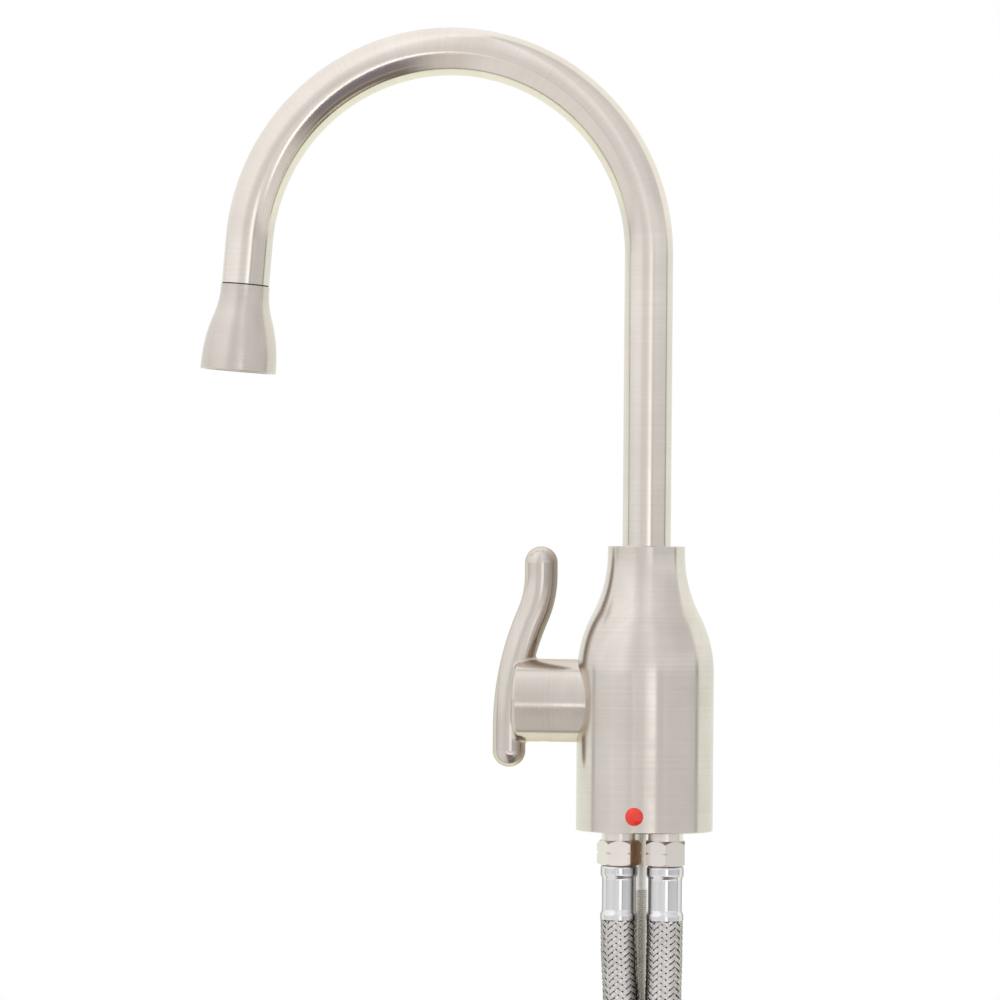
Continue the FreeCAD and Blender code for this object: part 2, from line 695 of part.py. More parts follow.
def cartridge():
    """Quarter-turn headworks: sleeve, seals and the disc that stays still."""
    sleeve = turned("CartridgeSleeve", [
        ("cavity_radius", "valve_floor + cartridge_foot_gap"),
        ("cartridge_radius", "valve_floor + cartridge_foot_gap"),
        ("cartridge_radius", "hub_seat"),
        ("cartridge_neck / 2", "hub_seat"),
        ("cartridge_neck / 2", "neck_top"),
        ("spindle_bore_radius", "neck_top"),
        ("spindle_bore_radius", "cavity_top"),
        ("cavity_radius", "cavity_top"),
    ])
    head = hexagon(new_sketch(sleeve, "XY_Plane", "hub_seat"), "cartridge_hex")
    circle(head, "spindle_bore_radius")
    feature(sleeve, "Pad", head, Length="cartridge_hex_length")
    window = outline(new_sketch(sleeve, "YZ_Plane"), [
        ("-window_width / 2", "moving_disc_top"),
        ("window_width / 2", "moving_disc_top"),
        ("window_width / 2", "moving_disc_top + window_length"),
        ("-window_width / 2", "moving_disc_top + window_length"),
    ])
    feature(sleeve, "Pocket", window, Length="cartridge_diameter", Midplane=True)
    floor = "cartridge_ring_radius - cartridge_ring_section / 2 - press_fit"
    half = "cartridge_ring_section / 2 + press_fit"
    place = "cartridge_ring_place"
    spin(sleeve, ring(floor, "cartridge_radius", f"{place} - ({half})", f"{place} + {half}"), "Groove")
    keep_on_valve(sleeve, "cartridge_sleeve")
    seal_ring = torus("CartridgeRing", "cartridge_ring_radius", "cartridge_ring_section")
    keep(seal_ring, "cartridge_o_ring", x="-cartridge_ring_place", z="hub_height", axis=SIDEWAYS, angle="-90")
    seal = ring("cartridge_seal_bore / 2", "disc_radius", "valve_floor", "seal_top")
    keep_on_valve(turned("CartridgeSeal", seal), "cartridge_seal")
    keep_on_valve(ceramic_disc("FixedDisc", "seal_top", 0), "fixed_ceramic_disc")
    glide = ring("cartridge_neck / 2 + press_fit", "hub_bore / 2 - hub_gap",
                 "hex_top", "hex_top + glide_length")
    keep_on_valve(turned("GlideRing", glide), "handle_glide_ring")


def ceramic_disc(name, bottom, port_angle):
    """A lapped disc with two opposite ports."""
    disc = turned(name, ring("0", "disc_radius", bottom, f"{bottom} + disc_thickness"))
    corners = []
    for radius, sign in (("port_inner_radius", 1), ("port_outer_radius", 1),
                         ("port_outer_radius", -1), ("port_inner_radius", -1)):
        angle = f"{port_angle} - {sign} * port_half_angle"
        corners.append([f"{radius} * cos({angle})", f"{radius} * sin({angle})"])
    corners[1].append("port_outer_radius")
    corners[3].append("-port_inner_radius")
    sketch = outline(new_sketch(disc, "XY_Plane", bottom), corners)
    port = feature(disc, "Pocket", sketch, Length="disc_thickness", Reversed=True)
    pattern = disc.newObject("PartDesign::PolarPattern", "Ports")
    pattern.Originals = [port]
    pattern.Axis = (sketch, ["N_Axis"])
    pattern.Angle = FULL_TURN
    pattern.Occurrences = 2
    disc.Tip = pattern
    doc.recompute()
    return disc


def bar_across(body, plane_height, width, length):
    """Sketch of a straight bar across the valve's axis."""
    return outline(new_sketch(body, "XY_Plane", plane_height), [
        (f"-({length}) / 2", f"-({width}) / 2"),
        (f"({length}) / 2", f"-({width}) / 2"),
        (f"({length}) / 2", f"({width}) / 2"),
        (f"-({length}) / 2", f"({width}) / 2"),
    ])


def spindle():
    """Stem that the handle turns, with its seals, its clip and the disc that it drives."""
    stem = turned("ValveSpindle", [
        ("0", "moving_disc_top"),
        ("disc_radius", "moving_disc_top"),
        ("disc_radius", "carrier_top"),
        ("spindle_radius", "carrier_top"),
        ("spindle_radius", "square_start"),
        ("0", "square_start"),
    ])
    square = bar_across(stem, "square_start", "spindle_square", "spindle_square")
    feature(stem, "Pad", square, Length="spindle_square_length")
    tongue = bar_across(stem, "moving_disc_top", "drive_slot_width - 2 * drive_gap",
                        "2 * disc_radius - drive_slot_width")
    feature(stem, "Pad", tongue, Length="drive_slot_depth - drive_gap", Reversed=True)
    floor = "spindle_ring_radius - spindle_ring_section / 2 - press_fit"
    half = "spindle_ring_section / 2 + press_fit"
    places = ("spindle_ring_place", "spindle_ring_place + spindle_ring_pitch")
    for place in places:
        spin(stem, ring(floor, "spindle_radius", f"{place} - ({half})", f"{place} + {half}"), "Groove")
    spin(stem, ring("spindle_radius - clip_groove_depth", "spindle_radius", "clip_start - press_fit",
                    "clip_start + clip_thickness + press_fit"), "Groove")
    keep_on_valve(stem, "valve_spindle")
    for name, place in zip(("inner", "outer"), places):
        seal = torus(f"SpindleRing{name.title()}", "spindle_ring_radius", "spindle_ring_section")
        keep(seal, f"spindle_o_ring_{name}", x=f"-({place})", z="hub_height", axis=SIDEWAYS, angle="-90")
    clip = turned("SpindleClip", ring("spindle_radius - clip_groove_depth + press_fit", "clip_diameter / 2",
                                      "clip_start", "clip_start + clip_thickness"))
    mouth = outline(new_sketch(clip, "XY_Plane", "clip_start"), [
        ("0", "0"),
        ("clip_diameter * cos(clip_opening / 2)", "-clip_diameter * sin(clip_opening / 2)"),
        ("clip_diameter * cos(clip_opening / 2)", "clip_diameter * sin(clip_opening / 2)"),
    ])
    feature(clip, "Pocket", mouth, Length="clip_thickness", Reversed=True)
    keep_on_valve(clip, "spindle_clip")
    disc = ceramic_disc("MovingDisc", "fixed_disc_top", 90)
    slot = bar_across(disc, "moving_disc_top", "drive_slot_width", "2 * cavity_radius")
    feature(disc, "Pocket", slot, Length="drive_slot_depth")
    keep_on_valve(disc, "moving_ceramic_disc")


def handle():
    """Hub and curved lever in one casting, with the screw that holds it on the spindle."""
    body = new_body("Handle")
    spin(body, [
        ("0", "hub_bore_end"),
        ("hub_bore / 2", "hub_bore_end"),
        ("hub_bore / 2", "hub_start"),
        ("hub_radius", "hub_start"),
        ("hub_radius", "hub_reach"),
        ("0", "hub_reach"),
    ])
    spine = outline(new_sketch(body, "XZ_Plane"), [
        ("bar_foot", "bar_offset"),
        ("bar_bend", "bar_offset", "-bar_lower_radius"),
        ("bar_swap", "bar_swap_offset", "bar_upper_radius"),
        ("bar_straight", "bar_top_offset"),
        ("bar_rise", "bar_top_offset"),
    ], closed=False)
    section = new_sketch(body, "YZ_Plane", "bar_foot")
    section.AttachmentOffset = FreeCAD.Placement(FreeCAD.Vector(), FreeCAD.Rotation(UP, QUARTER_TURN))
    circle(section, "bar_radius", "bar_offset", "0")
    doc.recompute()
    runs = [f"Edge{index + 1}" for index in range(len(spine.Shape.Edges))]
    feature(body, "AdditivePipe", section, Spine=(spine, runs))
    for end, offset, sign in (("bar_foot", "bar_offset", "-"), ("bar_rise", "bar_top_offset", "")):
        tip = f"{end} + {sign}bar_radius"
        turn = "bar_radius" if sign else "-bar_radius"
        dome = outline(new_sketch(body, "XZ_Plane"), [
            (end, offset),
            (end, f"{offset} + bar_radius", turn),
            (tip, offset),
        ])
        axis = dome.addGeometry(Part.LineSegment(FreeCAD.Vector(value(end), value(offset), 0),
                                                 FreeCAD.Vector(value(tip), value(offset), 0)), True)
        dome.addConstraint(Sketcher.Constraint("Coincident", axis, 1, 0, 1))
        dome.addConstraint(Sketcher.Constraint("Coincident", axis, 2, 2, 1))
        feature(body, "Revolution", dome, ReferenceAxis=(dome, ["Axis0"]), Angle=FULL_TURN)
    blend_hub(body)
    opening = "spindle_square + 2 * drive_gap"
    socket = bar_across(body, "hub_bore_end", opening, opening)
    feature(body, "Pocket", socket, Length="spindle_square_length", Reversed=True)
    hole = new_sketch(body, "YZ_Plane")
    circle(hole, "handle_screw_thread / 2 + press_fit", "0", "handle_screw_place")
    feature(body, "Pocket", hole, Length="hub_diameter")
    keep_on_valve(body, "handle")
    screw = turned("HandleScrew", ring("0", "handle_screw_thread / 2", "0", "handle_screw_length"))
    key = hexagon(new_sketch(screw, "XY_Plane", "handle_screw_length"), "handle_screw_thread / 2")
    feature(screw, "Pocket", key, Length="handle_screw_length / 2")
    keep(screw, "handle_grub_screw", x="-handle_screw_place",
         z="hub_height - spindle_square / 2 - press_fit", axis=FreeCAD.Vector(1, 0, 0), angle="180")


def blend_hub(body):
    """Rounds the hub's outer rim and the edges where the lever grows out of the hub."""
    base = body.Tip
    names = []
    for index, edge in enumerate(base.Shape.Edges, start=1):
        if edge.Length < NEGLIGIBLE:
            continue
        middle = edge.valueAt((edge.FirstParameter + edge.LastParameter) / 2)
        on_end = abs(middle.z - value("hub_reach")) < CLOSE
        on_side = abs(math.hypot(middle.x, middle.y) - value("hub_radius")) < CLOSE
        straight = isinstance(edge.Curve, (Part.Line, Part.LineSegment))
        if on_end or (on_side and not straight and middle.z > value("hub_start") + CLOSE):
            names.append(f"Edge{index}")
    blend = body.newObject("PartDesign::Fillet", "Blend")
    blend.Base = (base, names)
    blend.setExpression("Radius", bound("hub_blend"))
    doc.recompute()


def hose_head(side, across):
    """Upper end of a hose: nipple in the body, nut, washer, stem and crimped ferrule."""
    where = {"x": across, "y": "-inlet_front"}
    nipple = turned(f"{side.title()}Nipple", [
        ("stem_bore / 2", "-nipple_foot_drop"),
        ("hose_thread / 2", "-nipple_foot_drop"),
        ("hose_thread / 2", "-nipple_drop"),
        ("inlet_radius", "-nipple_drop"),
        ("inlet_radius", "nipple_top"),
        ("stem_bore / 2", "nipple_top"),
    ])
    keep(nipple, f"{side}_inlet_nipple", **where)
    thread = "hose_thread / 2 + press_fit"
    nut = new_body(f"{side.title()}HoseNut")
    head = hexagon(new_sketch(nut, "XY_Plane", "-hose_nut_foot"), "hose_nut_hex", f"{side}_nut_turn")
    circle(head, "stem_radius + press_fit")
    feature(nut, "Pad", head, Length="hose_nut_length")
    bore(nut, thread, "0", "0", "-nipple_drop", "flange_foot - nipple_drop", False)
    chamfer_hex(nut, "hose_nut_hex", "-hose_nut_foot", "-nipple_drop", "hose_nut_crown_slope")
    corner = f"hose_nut_hex / {HEX_CORNER}"
    middle = "-(nipple_drop + hose_nut_foot) / 2"
    spin(nut, [
        (f"{corner} - hose_nut_notch_depth", middle),
        (corner, f"{middle} - hose_nut_notch_width / 2"),
        (corner, f"{middle} + hose_nut_notch_width / 2"),
    ], "Groove")
    keep(nut, f"{side}_hose_nut", **where)
    washer = ring("stem_bore / 2", "hose_thread / 2", "-washer_foot", "-nipple_foot_drop")
    keep(turned(f"{side.title()}HoseWasher", washer), f"{side}_hose_washer", **where)
    stem = turned(f"{side.title()}HoseStem", [
        ("stem_bore / 2", "-ferrule_top - stem_length"),
        ("stem_radius", "-ferrule_top - stem_length"),
        ("stem_radius", "-flange_foot"),
        ("hose_thread / 2", "-flange_foot"),
        ("hose_thread / 2", "-washer_foot"),
        ("stem_bore / 2", "-washer_foot"),
    ])
    keep(stem, f"{side}_hose_stem", **where)
    ferrule = turned(f"{side.title()}Ferrule", ferrule_outline("-ferrule_top", "-"))
    keep(ferrule, f"{side}_hose_ferrule", **where)


def ferrule_outline(collar_end, sign):
    """Crimped sleeve: a rounded collar, a drawn-in waist and a flare where the hose comes out."""
    inner = "stem_radius + press_fit"
    outer = "ferrule_diameter / 2"
    waist = "ferrule_waist / 2"
    halfway = "(ferrule_diameter + ferrule_waist) / 4"
    flare = "ferrule_length - ferrule_flare"
    left = "" if sign == "+" else "-"
    right = "-" if sign == "+" else ""
    profile = [
        (f"{outer} - ferrule_round", "0", f"{left}ferrule_round"),
        (outer, "ferrule_round"),
        (outer, "ferrule_collar", f"{left}ferrule_bend"),
        (halfway, "ferrule_collar + ferrule_blend / 2", f"{right}ferrule_bend"),
        (waist, "ferrule_collar + ferrule_blend"),
        (waist, f"{flare} - ferrule_blend", f"{right}ferrule_bend"),
        (halfway, f"{flare} - ferrule_blend / 2", f"{left}ferrule_bend"),
        (outer, flare),
        (outer, "ferrule_length"),
        (inner, "ferrule_length"),
        (inner, "0"),
    ]
    return [(radius, f"{collar_end} {sign} ({level})", *bend) for radius, level, *bend in profile]


def hose_tail(side, end):
    """Lower end of a hose: ferrule, stem and a swivel nut with its washer."""
    where = {"x": str(end[0]), "y": str(end[1]), "z": str(end[2])}
    name = side.title()
    ferrule = turned(f"{name}EndFerrule", ferrule_outline("-ferrule_length", "+"))
    keep(ferrule, f"{side}_hose_end_ferrule", **where)
    top = "ferrule_length + part_line"
    foot = f"{top} + end_nut_length"
    flange_top = f"{foot} - end_thread_length"
    flange_foot = f"{flange_top} + end_flange_thickness"
    flange_radius = "end_thread / 2 - end_spin_gap"
    stem = turned(f"{name}EndStem", [
        ("stem_bore / 2", f"-({flange_foot})"),
        (flange_radius, f"-({flange_foot})"),
        (flange_radius, f"-({flange_top}) - part_line"),
        ("stem_radius", f"-({flange_top}) - part_line"),
        ("stem_radius", "stem_length - ferrule_length"),
        ("stem_bore / 2", "stem_length - ferrule_length"),
    ])
    keep(stem, f"{side}_hose_end_stem", **where)
    nut = new_body(f"{name}EndNut")
    head = hexagon(new_sketch(nut, "XY_Plane", f"-({foot})"), "end_nut_hex", f"{side}_end_nut_turn")
    circle(head, "stem_radius + end_spin_gap")
    feature(nut, "Pad", head, Length="end_nut_length")
    bore(nut, "end_thread / 2", "0", "0", f"-({foot})", "end_thread_length", True)
    chamber = f"{flange_foot} + end_washer_thickness"
    bore(nut, "end_thread / 2 + end_relief", "0", "0", f"-({chamber})", f"({chamber}) - ({flange_top})", True)
    chamfer_hex(nut, "end_nut_hex", f"-({foot})", f"-({top})")
    keep(nut, f"{side}_hose_end_nut", **where)
    washer = ring("stem_bore / 2", flange_radius,
                  f"-({flange_foot}) - end_washer_thickness", f"-({flange_foot})")
    keep(turned(f"{name}EndWasher", washer), f"{side}_hose_end_washer", **where)


def hose(side, route):
    """Braided hose: a tube along straight runs joined by arcs as large as the runs allow."""
    points = [FreeCAD.Vector(*point) for point in route]
    edges = []
    radii = []
    last = points[0]
    for before, corner, after in zip(points, points[1:], points[2:]):
        into = (corner - before).normalize()
        out = (after - corner).normalize()
        turn = into.getAngle(out)
        cut = BEND_SHARE * min((corner - before).Length, (after - corner).Length)
        radius = cut / math.tan(turn / 2)
        start = corner - into * cut
        end = corner + out * cut
        center = start + (out - into * into.dot(out)).normalize() * radius
        middle = center + (corner - center).normalize() * radius
        edges.append(Part.LineSegment(last, start).toShape())
        edges.append(Part.Arc(start, middle, end).toShape())
        radii.append(radius)
        last = end
    edges.append(Part.LineSegment(last, points[-1]).toShape())
    path = Part.Wire(edges)
    heading = points[1] - points[0]
    tubes = []
    for diameter in (value("hose_diameter"), value("hose_inner_diameter")):
        section = Part.Wire(Part.Circle(points[0], heading, diameter / 2).toShape())
        tubes.append(path.makePipeShell([section], True, False))
    area = math.pi * (value("hose_diameter") ** 2 - value("hose_inner_diameter") ** 2) / 4
    made = doc.addObject("Part::Feature", f"{side.title()}Hose")
    made.Shape = tubes[0].cut(tubes[1])
    made.Placement = FreeCAD.Placement()
    made.Label = f"{side}_hose"
    parts.append(made)
    shown = ", ".join(f"{radius:.0f}" for radius in radii)
    print(f"{made.Label}: length {path.Length:.1f}, bend radii {shown}, "
          f"volume {made.Shape.Volume:.0f} against {area * path.Length:.0f}")


def mounting():
    """Stud in the base and the clamp that it pulls up against the worktop's underside."""
    where = {"x": "-stud_left", "y": "stud_back"}
    stud = turned("MountingStud", [
        ("0", "-stud_drop"),
        ("stud_radius - nut_chamfer", "-stud_drop"),
        ("stud_radius", "-stud_drop + nut_chamfer"),
        ("stud_radius", "-stud_shank_drop"),
        ("stud_shank / 2", "-stud_shank_drop"),
        ("stud_shank / 2", "recess_depth"),
        ("stud_radius", "recess_depth"),
        ("stud_radius", "recess_depth + stud_engagement - part_line"),
        ("0", "recess_depth + stud_engagement - part_line"),
    ])
    keep(stud, "mounting_stud", **where)
    keep(horseshoe("ClampWasher", "-clamp_plate_drop", "clamp_washer_thickness"), "clamp_washer")
    keep(horseshoe("ClampPlate", "-clamp_nut_drop", "clamp_plate_thickness"), "clamp_plate")
    nut = new_body("ClampNut")
    head = hexagon(new_sketch(nut, "XY_Plane", "-(clamp_nut_drop) - clamp_nut_length"), "clamp_nut_hex")
    circle(head, "stud_radius + press_fit")
    feature(nut, "Pad", head, Length="clamp_nut_length")
    chamfer_hex(nut, "clamp_nut_hex", "-(clamp_nut_drop) - clamp_nut_length", "-clamp_nut_drop")
    keep(nut, "clamp_nut", **where)


def horseshoe(name, bottom, thickness):
    """A round plate with a wide slot for the hoses, open to the front, and a hole for the stud."""
    body = new_body(name)
    radius = "clamp_diameter / 2"
    slot = "clamp_slot / 2"
    tip = f"-sqrt(({radius}) ^ 2 - ({slot}) ^ 2)"
    corner = f"({slot}) - clamp_slot_round"
    side_end = "clamp_slot_back - clamp_slot_round"
    sketch = outline(new_sketch(body, "XY_Plane", bottom), [
        (slot, tip, radius),
        (radius, "0", radius),
        ("0", radius, radius),
        (f"-({radius})", "0", radius),
        (f"-({slot})", tip),
        (f"-({slot})", side_end, "-clamp_slot_round"),
        (f"-({corner})", "clamp_slot_back"),
        (corner, "clamp_slot_back", "-clamp_slot_round"),
        (slot, side_end),
    ])
    circle(sketch, "stud_radius + clamp_hole_gap", "-stud_left", "stud_back")
    feature(body, "Pad", sketch, Length=thickness)
    return body


def check_and_write():
    """Stops on any failed object, then writes each sub-part to its own file."""
    doc.recompute()
    failed = [obj.Name for obj in doc.Objects if "Invalid" in obj.State or "Error" in obj.State]
    bad = [obj.Label for obj in parts if obj.Shape.isNull() or not obj.Shape.isValid()]
    if failed or bad:
        raise RuntimeError(f"failed objects {failed}, bad shapes {bad}")
    os.makedirs("parts", exist_ok=True)
    for obj in parts:
        obj.Shape.exportStep(f"parts/{obj.Label}.step")
    print(f"wrote {len(parts)} sub-parts")


tap_body()
body_fittings()
spout_foot()
spout_tube()
nozzle()
cartridge()
spindle()
handle()
hose_head("left", "-inlet_half_pitch")
hose_head("right", "inlet_half_pitch")
hose("left", LEFT_ROUTE)
hose("right", RIGHT_ROUTE)
hose_tail("left", LEFT_ROUTE[-1])
hose_tail("right", RIGHT_ROUTE[-1])
mounting()
check_and_write()
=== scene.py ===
import logging
import math
from collections.abc import Iterable, Sequence
from dataclasses import dataclass, field
from enum import Enum

import bpy
import numpy as np
from mathutils import Matrix, Vector


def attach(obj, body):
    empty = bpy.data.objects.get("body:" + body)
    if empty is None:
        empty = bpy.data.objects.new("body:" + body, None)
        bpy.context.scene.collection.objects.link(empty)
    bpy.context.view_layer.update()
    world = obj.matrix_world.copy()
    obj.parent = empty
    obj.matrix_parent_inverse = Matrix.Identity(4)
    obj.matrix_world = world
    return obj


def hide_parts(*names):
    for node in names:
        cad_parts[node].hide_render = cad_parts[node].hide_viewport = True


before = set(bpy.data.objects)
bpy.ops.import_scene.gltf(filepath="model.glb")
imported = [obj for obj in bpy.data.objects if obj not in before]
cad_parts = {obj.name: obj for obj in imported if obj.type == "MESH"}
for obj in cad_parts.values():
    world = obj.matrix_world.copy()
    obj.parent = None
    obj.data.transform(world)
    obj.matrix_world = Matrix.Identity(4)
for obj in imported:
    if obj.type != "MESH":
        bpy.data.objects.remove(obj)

# Studio scene of an instant hot water tap, in metres. The worktop is the plane z = 0, the red dot faces -Y,
# and the spout and the side valve point to -X.

LOG = logging.getLogger("tap")
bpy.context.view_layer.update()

Point = tuple[float, float, float]
Color = tuple[float, float, float]
Nodes = bpy.types.NodeTree
Paint = Color | bpy.types.NodeSocket
Span = tuple[float, float]
Roll = tuple[float, float, float, float]
Stops = tuple[tuple[float, float | Color], ...]

MILLIMETRE = 0.001
FULL_TURN = 2 * math.pi
BEND_RADIUS = 0.07675
BEND_HEIGHT = 0.2150
CAMERA_TURN = 8.5
TURNED_SMOOTH = 35.0
THREAD_SMOOTH = 30.0


class Grain(Enum):
    """Which way the fine lines of a metal finish run."""

    AROUND_Z = (15.0, 15.0, 3600.0)
    AROUND_X = (3600.0, 15.0, 15.0)
    NONE = (900.0, 900.0, 900.0)


class Layout(Enum):
    """Coordinates that a finish is laid out in."""

    PLAIN = "plain"
    ALONG_SPOUT = "along_spout"


class NodeKind(Enum):
    """Shader nodes that the finishes are wired from."""

    COORDINATES = "ShaderNodeTexCoord"
    MAPPING = "ShaderNodeMapping"
    NOISE = "ShaderNodeTexNoise"
    VECTOR_MATH = "ShaderNodeVectorMath"
    MATH = "ShaderNodeMath"
    RANGE = "ShaderNodeMapRange"
    MIX = "ShaderNodeMix"
    RAMP = "ShaderNodeValToRGB"
    BUMP = "ShaderNodeBump"
    TANGENT = "ShaderNodeTangent"
    SEPARATE = "ShaderNodeSeparateXYZ"
    COMBINE = "ShaderNodeCombineXYZ"
    LIGHT_PATH = "ShaderNodeLightPath"


def add_node(tree: Nodes, kind: NodeKind, **settings: object) -> bpy.types.Node:
    """Adds a node and sets its own properties.

    Args:
        tree: The tree that takes the node.
        kind: What the node is.
        settings: Properties of the node by name.

    Returns:
        The new node.
    """
    node = tree.nodes.new(kind.value)
    for name, setting in settings.items():
        setattr(node, name, setting)
    return node


def math_node(tree: Nodes, operation: str, first: object, second: object = None) -> bpy.types.NodeSocket:
    """Joins one or two numbers or sockets by a sum.

    Args:
        tree: The tree that takes the node.
        operation: Blender's name of the sum.
        first: A number or a socket.
        second: A number or a socket, or nothing.

    Returns:
        The socket with the result.
    """
    node = add_node(tree, NodeKind.MATH, operation=operation)
    for socket, term in zip(node.inputs, (first, second)):
        if isinstance(term, bpy.types.NodeSocket):
            tree.links.new(term, socket)
        elif term is not None:
            socket.default_value = term
    return node.outputs[0]


def range_node(tree: Nodes, source: bpy.types.NodeSocket, old: Span,
               new: Span = (0.0, 1.0)) -> bpy.types.NodeSocket:
    """Moves a value from one range to another, without leaving the new one.

    Args:
        tree: The tree that takes the node.
        source: The value.
        old: Lowest and highest value going in.
        new: Lowest and highest value coming out.

    Returns:
        The socket with the result.
    """
    node = add_node(tree, NodeKind.RANGE, clamp=True)
    for name, number in zip(("From Min", "From Max", "To Min", "To Max"), (*old, *new)):
        node.inputs[name].default_value = number
    tree.links.new(source, node.inputs["Value"])
    return node.outputs["Result"]


def mix_colors(tree: Nodes, share: bpy.types.NodeSocket, first: Paint, second: Paint) -> bpy.types.NodeSocket:
    """Blends two colours by a mask.

    Args:
        tree: The tree that takes the node.
        share: The mask: 0 shows the first colour, 1 the second.
        first: Colour at 0, plain or from a socket.
        second: Colour at 1, plain or from a socket.

    Returns:
        The socket with the blended colour.
    """
    node = add_node(tree, NodeKind.MIX, data_type="RGBA")
    tree.links.new(share, node.inputs[0])
    for socket, paint in zip(node.inputs[6:8], (first, second)):
        if isinstance(paint, bpy.types.NodeSocket):
            tree.links.new(paint, socket)
        else:
            socket.default_value = (*paint, 1.0)
    return node.outputs[2]


def new_group(name: str, inputs: dict[str, str], outputs: dict[str, str]) -> Nodes:
    """Makes an empty shader node group with named sockets.

    Args:
        name: The group's name.
        inputs: Socket types by name, going in.
        outputs: Socket types by name, coming out.

    Returns:
        The group, with its input and output nodes in place.
    """
    tree = bpy.data.node_groups.new(name, "ShaderNodeTree")
    for direction, sockets in (("INPUT", inputs), ("OUTPUT", outputs)):
        for socket, kind in sockets.items():
            tree.interface.new_socket(socket, in_out=direction, socket_type=kind)
    tree.nodes.new("NodeGroupInput")
    tree.nodes.new("NodeGroupOutput")
    return tree


def group_ends(tree: Nodes) -> tuple[bpy.types.Node, bpy.types.Node]:
    """The input and output nodes of a group."""
    return tree.nodes["Group Input"], tree.nodes["Group Output"]


